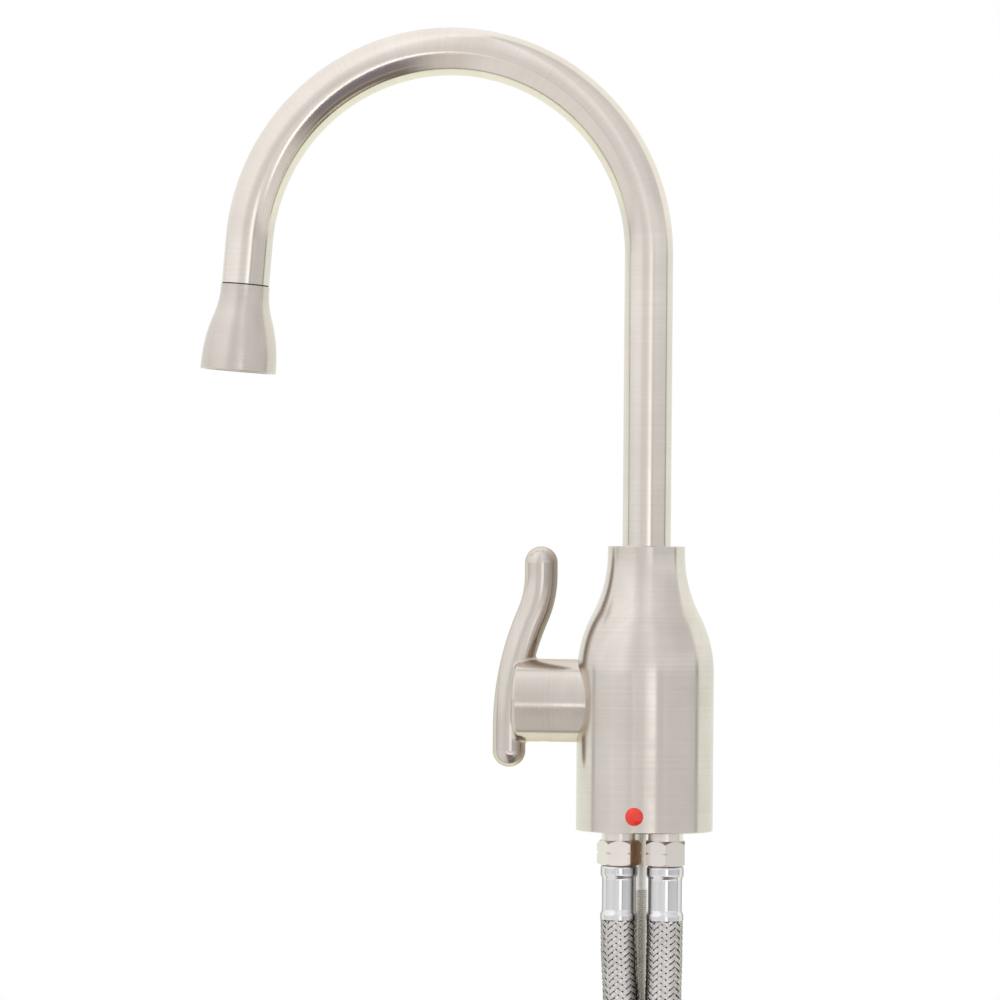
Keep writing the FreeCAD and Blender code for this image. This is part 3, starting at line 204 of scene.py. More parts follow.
class SurfaceEffects:
    """Node groups that several finishes share.

    Each layer of lines has its output, scale and detail. The other values are where a mask starts and is full.
    """

    LINE_LAYERS = (("Height", 1.0, 3.0), ("Tone", 0.31, 2.0))
    MARKS_DETAIL = 4.0
    MARKS_DISTORTION = 0.6
    MARKS_EDGE: Span = (0.36, 0.66)
    # Where the painted shade between the hoses starts and is full, by distance from the middle.
    GAP_SHADE_EDGE: Span = (0.0048, 0.0014)
    # Where the painted shade on the lever's side toward the body starts and is full, by the X of the surface's normal.
    BODY_SHADE_EDGE: Span = (0.30, 0.85)

    def __init__(self) -> None:
        """Builds the groups once."""
        self.lines = self._fine_lines()
        self.marks = self._handling_marks()
        self.spout = self._along_spout()
        # Masks of painted shade: between the hoses, and on the lever's side toward the body.
        self.gap = self._hose_gap_shade()
        self.inside = self._body_side_shade()

    def _fine_lines(self) -> Nodes:
        """Fine drawn lines: a height for bump and a tone that varies from line to line.

        Returns:
            The group.
        """
        tree = new_group("fine_lines", {"Vector": "NodeSocketVector", "Stretch": "NodeSocketVector"},
                         {"Height": "NodeSocketFloat", "Tone": "NodeSocketFloat"})
        start, end = group_ends(tree)
        stretched = add_node(tree, NodeKind.VECTOR_MATH, operation="MULTIPLY")
        tree.links.new(start.outputs["Vector"], stretched.inputs[0])
        tree.links.new(start.outputs["Stretch"], stretched.inputs[1])
        for output, scale, detail in self.LINE_LAYERS:
            noise = add_node(tree, NodeKind.NOISE)
            noise.inputs["Scale"].default_value = scale
            noise.inputs["Detail"].default_value = detail
            tree.links.new(stretched.outputs[0], noise.inputs["Vector"])
            tree.links.new(noise.outputs["Fac"], end.inputs[output])
        return tree

    def _handling_marks(self) -> Nodes:
        """Soft cloudy patches left by hands and wiping.

        Returns:
            The group.
        """
        tree = new_group("handling_marks", {"Vector": "NodeSocketVector", "Scale": "NodeSocketFloat"},
                         {"Mask": "NodeSocketFloat"})
        start, end = group_ends(tree)
        noise = add_node(tree, NodeKind.NOISE)
        noise.inputs["Detail"].default_value = self.MARKS_DETAIL
        noise.inputs["Distortion"].default_value = self.MARKS_DISTORTION
        tree.links.new(start.outputs["Vector"], noise.inputs["Vector"])
        tree.links.new(start.outputs["Scale"], noise.inputs["Scale"])
        tree.links.new(range_node(tree, noise.outputs["Fac"], self.MARKS_EDGE), end.inputs["Mask"])
        return tree

    def _along_spout(self) -> Nodes:
        """Values that follow the gooseneck: two distances across its line and the distance along it.

        Returns:
            The group.
        """
        tree = new_group("along_spout", {"Vector": "NodeSocketVector"},
                         {"Reach": "NodeSocketFloat", "Across": "NodeSocketFloat", "Along": "NodeSocketFloat"})
        start, end = group_ends(tree)
        parts = add_node(tree, NodeKind.SEPARATE)
        tree.links.new(start.outputs["Vector"], parts.inputs[0])
        across = math_node(tree, "ADD", parts.outputs["X"], BEND_RADIUS)
        rise = math_node(tree, "SUBTRACT", parts.outputs["Z"], BEND_HEIGHT)
        above = math_node(tree, "MAXIMUM", rise, 0.0)
        angle = math_node(tree, "ARCTAN2", above, across)
        side = math_node(tree, "SIGN", across)
        leg = math_node(tree, "MULTIPLY", math_node(tree, "MINIMUM", rise, 0.0), side)
        along = math_node(tree, "ADD", math_node(tree, "MULTIPLY", angle, BEND_RADIUS), leg)
        reach = math_node(tree, "SQRT", math_node(tree, "ADD", math_node(tree, "MULTIPLY", across, across),
                                                  math_node(tree, "MULTIPLY", above, above)))
        for name, value in (("Reach", reach), ("Across", parts.outputs["Y"]), ("Along", along)):
            tree.links.new(value, end.inputs[name])
        return tree

    def _hose_gap_shade(self) -> Nodes:
        """Painted shade in the narrow gap between the two hoses, where little light gets in.

        Returns:
            The group.
        """
        tree = new_group("hose_gap_shade", {"Vector": "NodeSocketVector"}, {"Mask": "NodeSocketFloat"})
        start, end = group_ends(tree)
        parts = add_node(tree, NodeKind.SEPARATE)
        tree.links.new(start.outputs["Vector"], parts.inputs[0])
        beside = math_node(tree, "ABSOLUTE", parts.outputs["X"])
        tree.links.new(range_node(tree, beside, self.GAP_SHADE_EDGE), end.inputs["Mask"])
        return tree

    def _body_side_shade(self) -> Nodes:
        """The side of the lever that faces the tap's body, for painted shade that stands in for the body's dark
        reflection there.

        Returns:
            The group.
        """
        tree = new_group("body_side_shade", {"Vector": "NodeSocketVector"}, {"Mask": "NodeSocketFloat"})
        start, end = group_ends(tree)
        parts = add_node(tree, NodeKind.SEPARATE)
        tree.links.new(start.outputs["Vector"], parts.inputs[0])
        tree.links.new(range_node(tree, parts.outputs["X"], self.BODY_SHADE_EDGE), end.inputs["Mask"])
        return tree


EFFECTS = SurfaceEffects()
LINES_SHARE = 0.6
MARKS_SHARE = 0.4
WORN_EDGE: Span = (0.15, 0.75)
ACROSS_THE_LINES = 0.25


@dataclass(frozen=True)
class Finish:
    """One surface: its colours, its gloss and the fine texture on it."""

    name: str
    color: Color
    shade: Color
    roughness: Span
    metallic: float = 0.0
    grain: Grain = Grain.NONE
    bump: float = 0.0
    bump_depth: float = 0.00002
    anisotropy: float = 0.0
    coat: float = 0.0
    marks_scale: float = 45.0
    layout: Layout = Layout.PLAIN
    tilt: float = 0.0
    rim: Color = (1.0, 1.0, 1.0)
    # gap and inside are colours of painted shade: between the hoses, and on the lever's side toward the body, where it
    # stands in for the body's dark reflection.
    gap: Color | None = None
    inside: Color | None = None

    def material(self) -> bpy.types.Material:
        """Wires the finish as a material.

        Returns:
            The material.
        """
        material = bpy.data.materials.new(self.name)
        material.use_nodes = True
        tree = material.node_tree
        shader = tree.nodes["Principled BSDF"]
        shader.inputs["Metallic"].default_value = self.metallic
        shader.inputs["Coat Weight"].default_value = self.coat
        shader.inputs["Specular Tint"].default_value = (*self.rim, 1.0)
        coordinates = add_node(tree, NodeKind.COORDINATES)
        mapping = add_node(tree, NodeKind.MAPPING)
        mapping.inputs["Rotation"].default_value = (0.0, math.radians(self.tilt), 0.0)
        tree.links.new(coordinates.outputs["Object"], mapping.inputs["Vector"])
        source = mapping.outputs["Vector"]
        if self.layout is Layout.ALONG_SPOUT:
            source = self._along_spout(tree, source)
        lines = self._placed(tree, EFFECTS.lines, source)
        lines.inputs["Stretch"].default_value = self.grain.value
        marks = self._placed(tree, EFFECTS.marks, source)
        marks.inputs["Scale"].default_value = self.marks_scale
        worn = math_node(tree, "ADD", math_node(tree, "MULTIPLY", lines.outputs["Tone"], LINES_SHARE),
                         math_node(tree, "MULTIPLY", marks.outputs["Mask"], MARKS_SHARE))
        share = range_node(tree, worn, WORN_EDGE)
        color = mix_colors(tree, share, self.color, self.shade)
        # Painted shade: the colour darkens between the hoses and on the lever's side that faces the body.
        if self.gap:
            color = mix_colors(tree, self._placed(tree, EFFECTS.gap, source).outputs["Mask"], color, self.gap)
        if self.inside:
            mask = self._placed(tree, EFFECTS.inside, coordinates.outputs["Normal"]).outputs["Mask"]
            color = mix_colors(tree, mask, color, self.inside)
        tree.links.new(color, shader.inputs["Base Color"])
        tree.links.new(range_node(tree, share, (0.0, 1.0), self.roughness), shader.inputs["Roughness"])
        if self.bump:
            bump = add_node(tree, NodeKind.BUMP)
            bump.inputs["Strength"].default_value = self.bump
            bump.inputs["Distance"].default_value = self.bump_depth
            tree.links.new(lines.outputs["Height"], bump.inputs["Height"])
            tree.links.new(bump.outputs["Normal"], shader.inputs["Normal"])
        if self.anisotropy:
            shader.inputs["Anisotropic"].default_value = self.anisotropy
            shader.inputs["Anisotropic Rotation"].default_value = ACROSS_THE_LINES
            tangent = add_node(tree, NodeKind.TANGENT, direction_type="RADIAL", axis="Z")
            tree.links.new(tangent.outputs["Tangent"], shader.inputs["Tangent"])
        return material

    def _along_spout(self, tree: Nodes, source: bpy.types.NodeSocket) -> bpy.types.NodeSocket:
        """Joins the gooseneck's three values to coordinates.

        Args:
            tree: The material's tree.
            source: The socket with the plain coordinates.

        Returns:
            The socket with the coordinates that follow the gooseneck.
        """
        values = self._placed(tree, EFFECTS.spout, source)
        joined = add_node(tree, NodeKind.COMBINE)
        for value, socket in zip(values.outputs, joined.inputs):
            tree.links.new(value, socket)
        return joined.outputs[0]

    def _placed(self, tree: Nodes, group: Nodes, source: bpy.types.NodeSocket) -> bpy.types.Node:
        """Puts a shared effect in the material.

        Args:
            tree: The material's tree.
            group: The effect.
            source: The socket that gives it its coordinates.

        Returns:
            The group's node.
        """
        node = tree.nodes.new("ShaderNodeGroup")
        node.node_tree = group
        tree.links.new(source, node.inputs["Vector"])
        return node


NICKEL: Color = (0.835, 0.776, 0.723)
NICKEL_SHADE: Color = (0.728, 0.670, 0.618)

FINISHES = {
    "turned_nickel": Finish("turned_nickel", NICKEL, NICKEL_SHADE, (0.16, 0.24), metallic=1.0,
                            grain=Grain.AROUND_Z, bump=0.04, anisotropy=0.6),
    # Painted light and shade in the colours: the spout's nickel is made lighter and the nozzle's darker than the
    # body's, to set how bright each comes out.
    "nozzle_nickel": Finish("nozzle_nickel", (0.755, 0.70, 0.65), (0.70, 0.643, 0.592), (0.20, 0.29), metallic=1.0,
                            grain=Grain.AROUND_Z, bump=0.02, anisotropy=0.6, tilt=4.5),
    "spout_nickel": Finish("spout_nickel", (0.885, 0.823, 0.758), (0.82, 0.755, 0.692), (0.12, 0.17), metallic=1.0,
                           grain=Grain.AROUND_Z, bump=0.02, layout=Layout.ALONG_SPOUT),
    # Painted shade: inside darkens the lever's side toward the body, for the body's dark reflection there.
    "lever_nickel": Finish("lever_nickel", (0.815, 0.757, 0.704), (0.72, 0.662, 0.61), (0.14, 0.20), metallic=1.0,
                           grain=Grain.AROUND_X, bump=0.02, rim=(0.80, 0.74, 0.67),
                           inside=(0.375, 0.32, 0.285)),
    # Painted shade: gap darkens the ferrules where they stand between the hoses.
    "crimped_chrome": Finish("crimped_chrome", (0.915, 0.905, 0.92), (0.87, 0.86, 0.88), (0.05, 0.11),
                             metallic=1.0, grain=Grain.AROUND_Z, bump=0.03, rim=(0.42, 0.40, 0.43),
                             gap=(0.28, 0.255, 0.245)),
    # Painted shade: gap darkens the nuts and nipples where they stand between the hoses.
    "nickel_nut": Finish("nickel_nut", (0.93, 0.875, 0.835), (0.88, 0.82, 0.78), (0.20, 0.27), metallic=1.0,
                         bump=0.012, gap=(0.66, 0.55, 0.46)),
    "brass": Finish("brass", (0.83, 0.63, 0.31), (0.74, 0.53, 0.24), (0.18, 0.32), metallic=1.0,
                    grain=Grain.AROUND_Z, bump=0.06),
    "zinc_steel": Finish("zinc_steel", (0.97, 0.95, 0.92), (0.90, 0.88, 0.84), (0.34, 0.46), metallic=0.90,
                         bump=0.10),
    "zinc_thread": Finish("zinc_thread", (0.87, 0.845, 0.80), (0.77, 0.745, 0.70), (0.22, 0.36), metallic=0.55,
                          bump=0.05),
    "steel": Finish("steel", (0.66, 0.655, 0.64), (0.60, 0.595, 0.58), (0.24, 0.34), metallic=1.0, bump=0.02),
    "rubber": Finish("rubber", (0.030, 0.030, 0.031), (0.048, 0.047, 0.046), (0.55, 0.75), bump=0.25),
    "white_plastic": Finish("white_plastic", (0.82, 0.81, 0.78), (0.76, 0.75, 0.72), (0.34, 0.50), bump=0.08),
    "red_plastic": Finish("red_plastic", (0.82, 0.034, 0.018), (0.76, 0.028, 0.015), (0.20, 0.32), bump=0.04,
                          coat=0.4),
    "ceramic": Finish("ceramic", (0.88, 0.86, 0.81), (0.83, 0.81, 0.76), (0.08, 0.18), bump=0.02),
    # Painted shade: gap darkens the braid where it runs between the hoses.
    "braid_wire": Finish("braid_wire", (0.80, 0.775, 0.76), (0.68, 0.655, 0.64), (0.14, 0.28), metallic=1.0,
                         bump=0.05, marks_scale=120.0, gap=(0.32, 0.30, 0.28)),
    "hose_core": Finish("hose_core", (0.035, 0.035, 0.036), (0.055, 0.054, 0.052), (0.50, 0.70), bump=0.15),
}
MATERIALS: dict[str, bpy.types.Material] = {}

SIDES = ("left", "right")
NODE_FINISHES = {
    "turned_nickel": ("tap_body",),
    "nozzle_nickel": ("outlet_nozzle",),
    "spout_nickel": ("spout_tube",),
    "lever_nickel": ("handle",),
    "crimped_chrome": tuple(f"{side}_{name}" for side in SIDES for name in ("hose_ferrule", "hose_end_ferrule")),
    "nickel_nut": tuple(f"{side}_{name}" for side in SIDES for name in ("inlet_nipple", "hose_nut", "hose_end_nut")),
    "brass": ("spout_nipple", "cartridge_sleeve", "valve_spindle", "clamp_nut",
              *(f"{side}_{name}" for side in SIDES for name in ("hose_stem", "hose_end_stem"))),
    "steel": ("spout_retaining_screw", "spindle_clip", "handle_grub_screw", "clamp_plate"),
    "rubber": ("base_seal", "spout_o_ring_lower", "spout_o_ring_upper", "nozzle_o_ring", "aerator_seal",
               "cartridge_o_ring", "cartridge_seal", "spindle_o_ring_inner", "spindle_o_ring_outer", "clamp_washer",
               *(f"{side}_{name}" for side in SIDES for name in ("hose_washer", "hose_end_washer"))),
    "white_plastic": ("spout_bush", "handle_glide_ring", "aerator_insert"),
    "red_plastic": ("hot_indicator",),
    "ceramic": ("fixed_ceramic_disc", "moving_ceramic_disc"),
}


def finish_material(name: str) -> bpy.types.Material:
    """Finds the material of a finish, and makes it when it is first asked for.

    Args:
        name: The finish.

    Returns:
        The material.
    """
    if name not in MATERIALS:
        MATERIALS[name] = FINISHES[name].material()
    return MATERIALS[name]


def dress(obj: bpy.types.Object, *finishes: str) -> None:
    """Gives an object its finishes, in the order of its material slots.

    Args:
        obj: The object.
        finishes: Names of finishes.
    """
    obj.data.materials.clear()
    for name in finishes:
        obj.data.materials.append(finish_material(name))


def select_only(*objects: bpy.types.Object) -> None:
    """Selects these objects and nothing else, with the first one active.

    Args:
        objects: The objects.
    """
    bpy.ops.object.select_all(action="DESELECT")
    for obj in objects:
        obj.select_set(True)
    bpy.context.view_layer.objects.active = objects[0]


def draw_profile(name: str, place: Point, points: Sequence[tuple[float, float]], closed: bool) -> bpy.types.Object:
    """Draws a line of edges by pulling one vertex from point to point in the XZ plane.

    Args:
        name: The new object's name.
        place: Where the axis stands.
        points: Radius and height of each point.
        closed: Whether the line returns to its start.

    Returns:
        The new object, left in edit mode.
    """
    bpy.ops.object.select_all(action="DESELECT")
    bpy.ops.mesh.primitive_plane_add(size=MILLIMETRE, location=place)
    obj = bpy.context.object
    obj.name = name
    bpy.ops.object.mode_set(mode="EDIT")
    bpy.ops.mesh.select_all(action="SELECT")
    bpy.ops.mesh.merge(type="CENTER")
    last = points[0]
    bpy.ops.transform.translate(value=(last[0], 0.0, last[1]))
    for radius, height in points[1:]:
        step = (radius - last[0], 0.0, height - last[1])
        bpy.ops.mesh.extrude_region_move(TRANSFORM_OT_translate={"value": step})
        last = (radius, height)
    if closed:
        bpy.ops.object.mode_set(mode="OBJECT")
        count = len(obj.data.vertices)
        ends = [index for index in range(count)
                if sum(index in edge.vertices for edge in obj.data.edges) == 1]
        for vertex in obj.data.vertices:
            vertex.select = vertex.index in ends
        bpy.ops.object.mode_set(mode="EDIT")
        bpy.ops.mesh.edge_face_add()
    bpy.ops.mesh.select_all(action="SELECT")
    return obj


def close_up(obj: bpy.types.Object, smooth_angle: float) -> None:
    """Ends the work on a turned or wound mesh: no doubles, no holes, normals out, place in the mesh.

    Args:
        obj: The object, in edit mode.
        smooth_angle: Edges flatter than this, in degrees, are shaded smooth.
    """
    bpy.ops.mesh.select_all(action="SELECT")
    bpy.ops.mesh.remove_doubles(threshold=MILLIMETRE / 1000)
    bpy.ops.mesh.fill_holes(sides=8)
    bpy.ops.mesh.select_all(action="SELECT")
    bpy.ops.mesh.normals_make_consistent(inside=False)
    bpy.ops.object.mode_set(mode="OBJECT")
    select_only(obj)
    bpy.ops.object.transform_apply(location=True, rotation=True, scale=True)
    bpy.ops.object.shade_smooth_by_angle(angle=math.radians(smooth_angle))


def turn_profile(name: str, place: Point, points: Sequence[tuple[float, float]], steps: int,
                 closed: bool = False, lean: float = 0.0) -> bpy.types.Object:
    """Turns a profile into a closed solid.

    Args:
        name: The new object's name.
        place: Where the axis stands.
        points: Radius and height of each point, from axis to axis, or round a ring's section.
        steps: How many faces go round.
        closed: Whether the profile is the section of a ring.
        lean: Degrees that the axis leans to +X.

    Returns:
        The new object.
    """
    obj = draw_profile(name, place, points, closed)
    bpy.ops.mesh.spin(steps=steps, angle=FULL_TURN, center=place, axis=(0.0, 0.0, 1.0))
    obj.rotation_euler.y = math.radians(lean)
    close_up(obj, TURNED_SMOOTH)
    return obj


@dataclass(frozen=True)
class Thread:
    """A rolled thread: one tooth wound round an upright axis."""

    root: float
    crest: float
    pitch: float
    bottom: float
    turns: int
    steps: int = 32
    flank_share: float = 0.42
    width_share: float = 0.98

    def wind(self, name: str, place: Point) -> bpy.types.Object:
        """Winds the tooth into a closed ridge.

        Args:
            name: The new object's name.
            place: Where the axis stands.

        Returns:
            The new object.
        """
        flank = self.flank_share * self.pitch
        land = 0.5 * self.pitch - flank
        tooth = ((self.root, self.bottom), (self.crest, self.bottom + flank),
                 (self.crest, self.bottom + flank + 2 * land),
                 (self.root, self.bottom + self.pitch * self.width_share))
        obj = draw_profile(name, place, tooth, closed=True)
        bpy.ops.object.mode_set(mode="OBJECT")
        select_only(obj)
        screw = obj.modifiers.new("Wind", "SCREW")
        screw.axis = "Z"
        screw.screw_offset = self.pitch
        screw.iterations = self.turns
        screw.steps = self.steps
        screw.render_steps = self.steps
        bpy.ops.object.modifier_apply(modifier=screw.name)
        bpy.ops.object.mode_set(mode="EDIT")
        close_up(obj, THREAD_SMOOTH)
        return obj


def report(obj: bpy.types.Object) -> None:
    """Says what a finished piece came to."""
    LOG.info("%s: %d faces", obj.name, len(obj.data.polygons))


@dataclass
class MountingStud:
    """Stud under the base: a plain shank at the top, then a rolled thread down to its tip."""

    place: Point = (-0.0022, 0.008, 0.0)
    top: float = 0.0208
    recess: float = 0.010
    shank_end: float = -0.022
    tip: float = -0.088
    thread_radius: float = 0.0025
    shank_radius: float = 0.0020
    chamfer: float = 0.0008
    pitch: float = 0.0008
    root_gain: float = 0.00002
    thread_bite: float = 0.00005

    def build(self) -> bpy.types.Object:
        """Models the stud and puts it in the CAD stud's place.

        Returns:
            The stud.
        """
        root = self.shank_radius + self.root_gain
        core = turn_profile("stud_with_thread", self.place, (
            (0.0, self.tip),
            (root - self.chamfer, self.tip),
            (root, self.tip + self.chamfer / 2),
            (root, self.shank_end),
            (self.shank_radius, self.shank_end + self.chamfer / 4),
            (self.shank_radius, self.recess),
            (self.thread_radius, self.recess),
            (self.thread_radius, self.top),
            (0.0, self.top),
        ), 32)
        length = self.shank_end - self.tip - 2 * self.chamfer
        thread = Thread(root - self.thread_bite, self.thread_radius, self.pitch, self.tip + self.chamfer,
                        int(length / self.pitch)).wind("stud_thread", self.place)
        dress(core, "zinc_steel")
        dress(thread, "zinc_thread")
        select_only(core, thread)
        bpy.ops.object.join()
        stud = bpy.context.object
        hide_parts("mounting_stud")
        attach(stud, "tap")
        report(stud)
        return stud


@dataclass
class SeamShadeRing:
    """Dark ring put in the narrow gap between the tube's end and the nozzle as painted shade: it stands for the shadow
    in the gap.
    """

    place: Point = (-0.15459, 0.0, 0.20418)
    lean: float = 4.5
    inner: float = 0.0081
    outer: float = 0.0088
    steps: int = 64
    bottom: float = -0.00046
    top: float = -0.000046

    def build(self) -> bpy.types.Object:
        """Turns the ring and fits it to the spout.

        Returns:
            The ring.
        """
        section = ((self.inner, self.bottom), (self.outer, self.bottom), (self.outer, self.top),
                   (self.inner, self.top))
        ring = turn_profile("seam_shade_ring", self.place, section, self.steps, closed=True, lean=self.lean)
        # Painted shade: the dark rubber finish stands for the gap's shadow.
        dress(ring, "rubber")
        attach(ring, "spout")
        report(ring)
        return ring


@dataclass
class BraidedHose:
    """Hose with a woven wire braid over a dark core, hanging from its upper ferrule to its lower one."""

    side: str
    route: tuple[Point, ...]
    length: float
    diameter: float = 0.0136
    lead: float = 0.029
    ribbons: int = 12
    wires: int = 6
    ribbon_width: float = 0.00148
    wave: float = 0.00032
    wire_radius: float = 0.00015
    wire_valley: float = 0.1
    wire_back: float = -0.8
    weave_steepness: float = 1.5
    steps_per_lead: int = 26
    core_radius: float = 0.00575
    core_sides: int = 32
    core_step: float = 0.003
    _line: np.ndarray = field(init=False, repr=False, default=None)
    _travel: np.ndarray = field(init=False, repr=False, default=None)
    _across: np.ndarray = field(init=False, repr=False, default=None)
    _beside: np.ndarray = field(init=False, repr=False, default=None)

    def build(self) -> bpy.types.Object:
        """Models the braid and its core as one piece in the CAD hose's place.

        Returns:
            The hose.
        """
        self._trace()
        points: list[np.ndarray] = []
        faces: list[np.ndarray] = []
        for turn in (1, -1):
            for index in range(self.ribbons):
                self._collect(points, faces, self._ribbon(turn, index))
        braid_faces = sum(len(block) for block in faces)
        self._collect(points, faces, self._core())
        mesh = bpy.data.meshes.new(f"{self.side}_braided_hose")
        mesh.from_pydata(np.concatenate(points), [], np.concatenate(faces))
        hose = bpy.data.objects.new(mesh.name, mesh)
        bpy.context.scene.collection.objects.link(hose)
        dress(hose, "braid_wire", "hose_core")
        slots = np.zeros(len(mesh.polygons), dtype=np.int32)
        slots[braid_faces:] = 1
        mesh.polygons.foreach_set("material_index", slots)
        select_only(hose)
        bpy.ops.object.mode_set(mode="EDIT")
        bpy.ops.mesh.select_all(action="SELECT")
        bpy.ops.mesh.normals_make_consistent(inside=False)
        bpy.ops.object.mode_set(mode="OBJECT")
        bpy.ops.object.shade_smooth()
        self._declare(hose)
        report(hose)
        return hose

    def _trace(self) -> None:
        """Reads the smooth line of the route, and a steady pair of directions across it."""
        curve = bpy.data.curves.new(f"{self.side}_route", "CURVE")
        curve.dimensions = "3D"
        spline = curve.splines.new("NURBS")
        spline.points.add(len(self.route) - 1)
        for point, place in zip(spline.points, self.route):
            point.co = (*place, 1.0)
        spline.order_u = 3
        spline.use_endpoint_u = True
        spline.resolution_u = 40
        holder = bpy.data.objects.new(curve.name, curve)
        bpy.context.scene.collection.objects.link(holder)
        bpy.context.view_layer.update()
        read = bpy.data.meshes.new_from_object(holder)
        line = np.array([vertex.co for vertex in read.vertices])
        bpy.data.meshes.remove(read)
        bpy.data.objects.remove(holder)
        bpy.data.curves.remove(curve)
        runs = np.linalg.norm(np.diff(line, axis=0), axis=1)
        keep = np.concatenate(([True], runs > MILLIMETRE / 10000))
        self._line = line[keep]
        runs = np.linalg.norm(np.diff(self._line, axis=0), axis=1)
        self._travel = np.concatenate(([0.0], np.cumsum(runs)))
        heading = np.gradient(self._line, axis=0)
        heading /= np.linalg.norm(heading, axis=1)[:, None]
        across = [np.array((1.0, 0.0, 0.0))]
        for direction in heading:
            side = across[-1] - direction * np.dot(across[-1], direction)
            across.append(side / np.linalg.norm(side))
        self._across = np.array(across[1:])
        self._beside = np.cross(heading, self._across)

    def _surface(self, travel: np.ndarray, angle: np.ndarray, radius: np.ndarray) -> np.ndarray:
        """Places points round the line.

        Args:
            travel: Distance along the line.
            angle: Angle round it.
            radius: Distance from it.

        Returns:
            The points, with one more axis than the arguments.
        """
        travel = np.clip(travel, 0.0, self._travel[-1])

        def sampled(values: np.ndarray) -> np.ndarray:
            """Values along the line at the asked distances."""
            return np.stack([np.interp(travel, self._travel, values[:, axis]) for axis in range(3)], axis=-1)

        around = (np.cos(angle) * radius)[..., None] * sampled(self._across)
        around += (np.sin(angle) * radius)[..., None] * sampled(self._beside)
        return sampled(self._line) + around

    def _ribbon(self, turn: int, index: int) -> np.ndarray:
        """One flat ribbon of wires, woven over two and under two of the others.

        Args:
            turn: Which way it winds, 1 or -1.
            index: Its number among those that wind the same way.

        Returns:
            Rings of points along the ribbon.
        """
        middle = self.diameter / 2 - self.wave - self.wire_radius
        slope = math.atan2(FULL_TURN * middle, self.lead)
        steps = round(self._travel[-1] / self.lead * self.steps_per_lead)
        travel = np.linspace(0.0, self._travel[-1], steps + 1)
        crossings = 2 * self.ribbons * travel / self.lead
        if turn > 0:
            phase = math.pi / 2 * (crossings + 2 * index)
        else:
            phase = math.pi / 2 * (2 * index - crossings)
        lift = turn * self.wave * np.clip(self.weave_steepness * np.cos(phase + math.pi / 4), -1.0, 1.0)
        width = np.linspace(-0.5, 0.5, 2 * self.wires + 1) * self.ribbon_width
        crest = np.where(np.arange(len(width)) % 2, 1.0, self.wire_valley) * self.wire_radius
        width = np.concatenate((width, width[[-1, 0]]))
        height = np.concatenate((crest, [self.wire_back * self.wire_radius] * 2))
        angle = turn * FULL_TURN * travel / self.lead + FULL_TURN * index / self.ribbons
        spread = (angle[:, None] + width[None, :] * math.cos(slope) / middle)
        shift = travel[:, None] - turn * width[None, :] * math.sin(slope)
        return self._surface(shift, spread, middle + lift[:, None] + height[None, :])

    def _core(self) -> np.ndarray:
        """The dark tube under the braid.

        Returns:
            Rings of points along the tube.
        """
        travel = np.linspace(0.0, self._travel[-1], round(self._travel[-1] / self.core_step))
        angle = np.linspace(0.0, FULL_TURN, self.core_sides, endpoint=False)
        grid = np.meshgrid(travel, angle, indexing="ij")
        return self._surface(grid[0], grid[1], np.full(grid[0].shape, self.core_radius))

    def _collect(self, points: list[np.ndarray], faces: list[np.ndarray], rings: np.ndarray) -> None:
        """Adds rings of points and the faces between them.

        Args:
            points: Points so far, added to.
            faces: Faces so far, added to.
            rings: Closed rings of points, all of one count.
        """
        start = sum(len(block) for block in points)
        count, size = rings.shape[:2]
        points.append(rings.reshape(-1, 3))
        index = start + np.arange(count * size).reshape(count, size)
        following = np.roll(index, -1, axis=1)
        quads = np.stack((index[:-1], following[:-1], following[1:], index[1:]), axis=-1)
        faces.append(quads.reshape(-1, 4))

    def _declare(self, hose: bpy.types.Object) -> None:
        """Hides the CAD hose that this one stands for, and attaches this one to the tap.

        Args:
            hose: The finished hose.
        """
        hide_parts(f"{self.side}_hose")
        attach(hose, "tap")


@dataclass
class SupplyNutThread:
    """Thread inside the swivel nut at the foot of a hose."""

    side: str
    place: Point
    root: float = 0.00836
    crest: float = 0.00772
    pitch: float = 0.001337
    bottom: float = -0.3400
    turns: int = 3

    def build(self) -> bpy.types.Object:
        """Winds the thread into the nut.

        Returns:
            The thread.
        """
        thread = Thread(self.root, self.crest, self.pitch, self.bottom, self.turns, 48)
        ridge = thread.wind(f"{self.side}_supply_nut_thread", self.place)
        dress(ridge, "nickel_nut")
        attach(ridge, f"{self.side}_supply_nut")
        report(ridge)
        return ridge


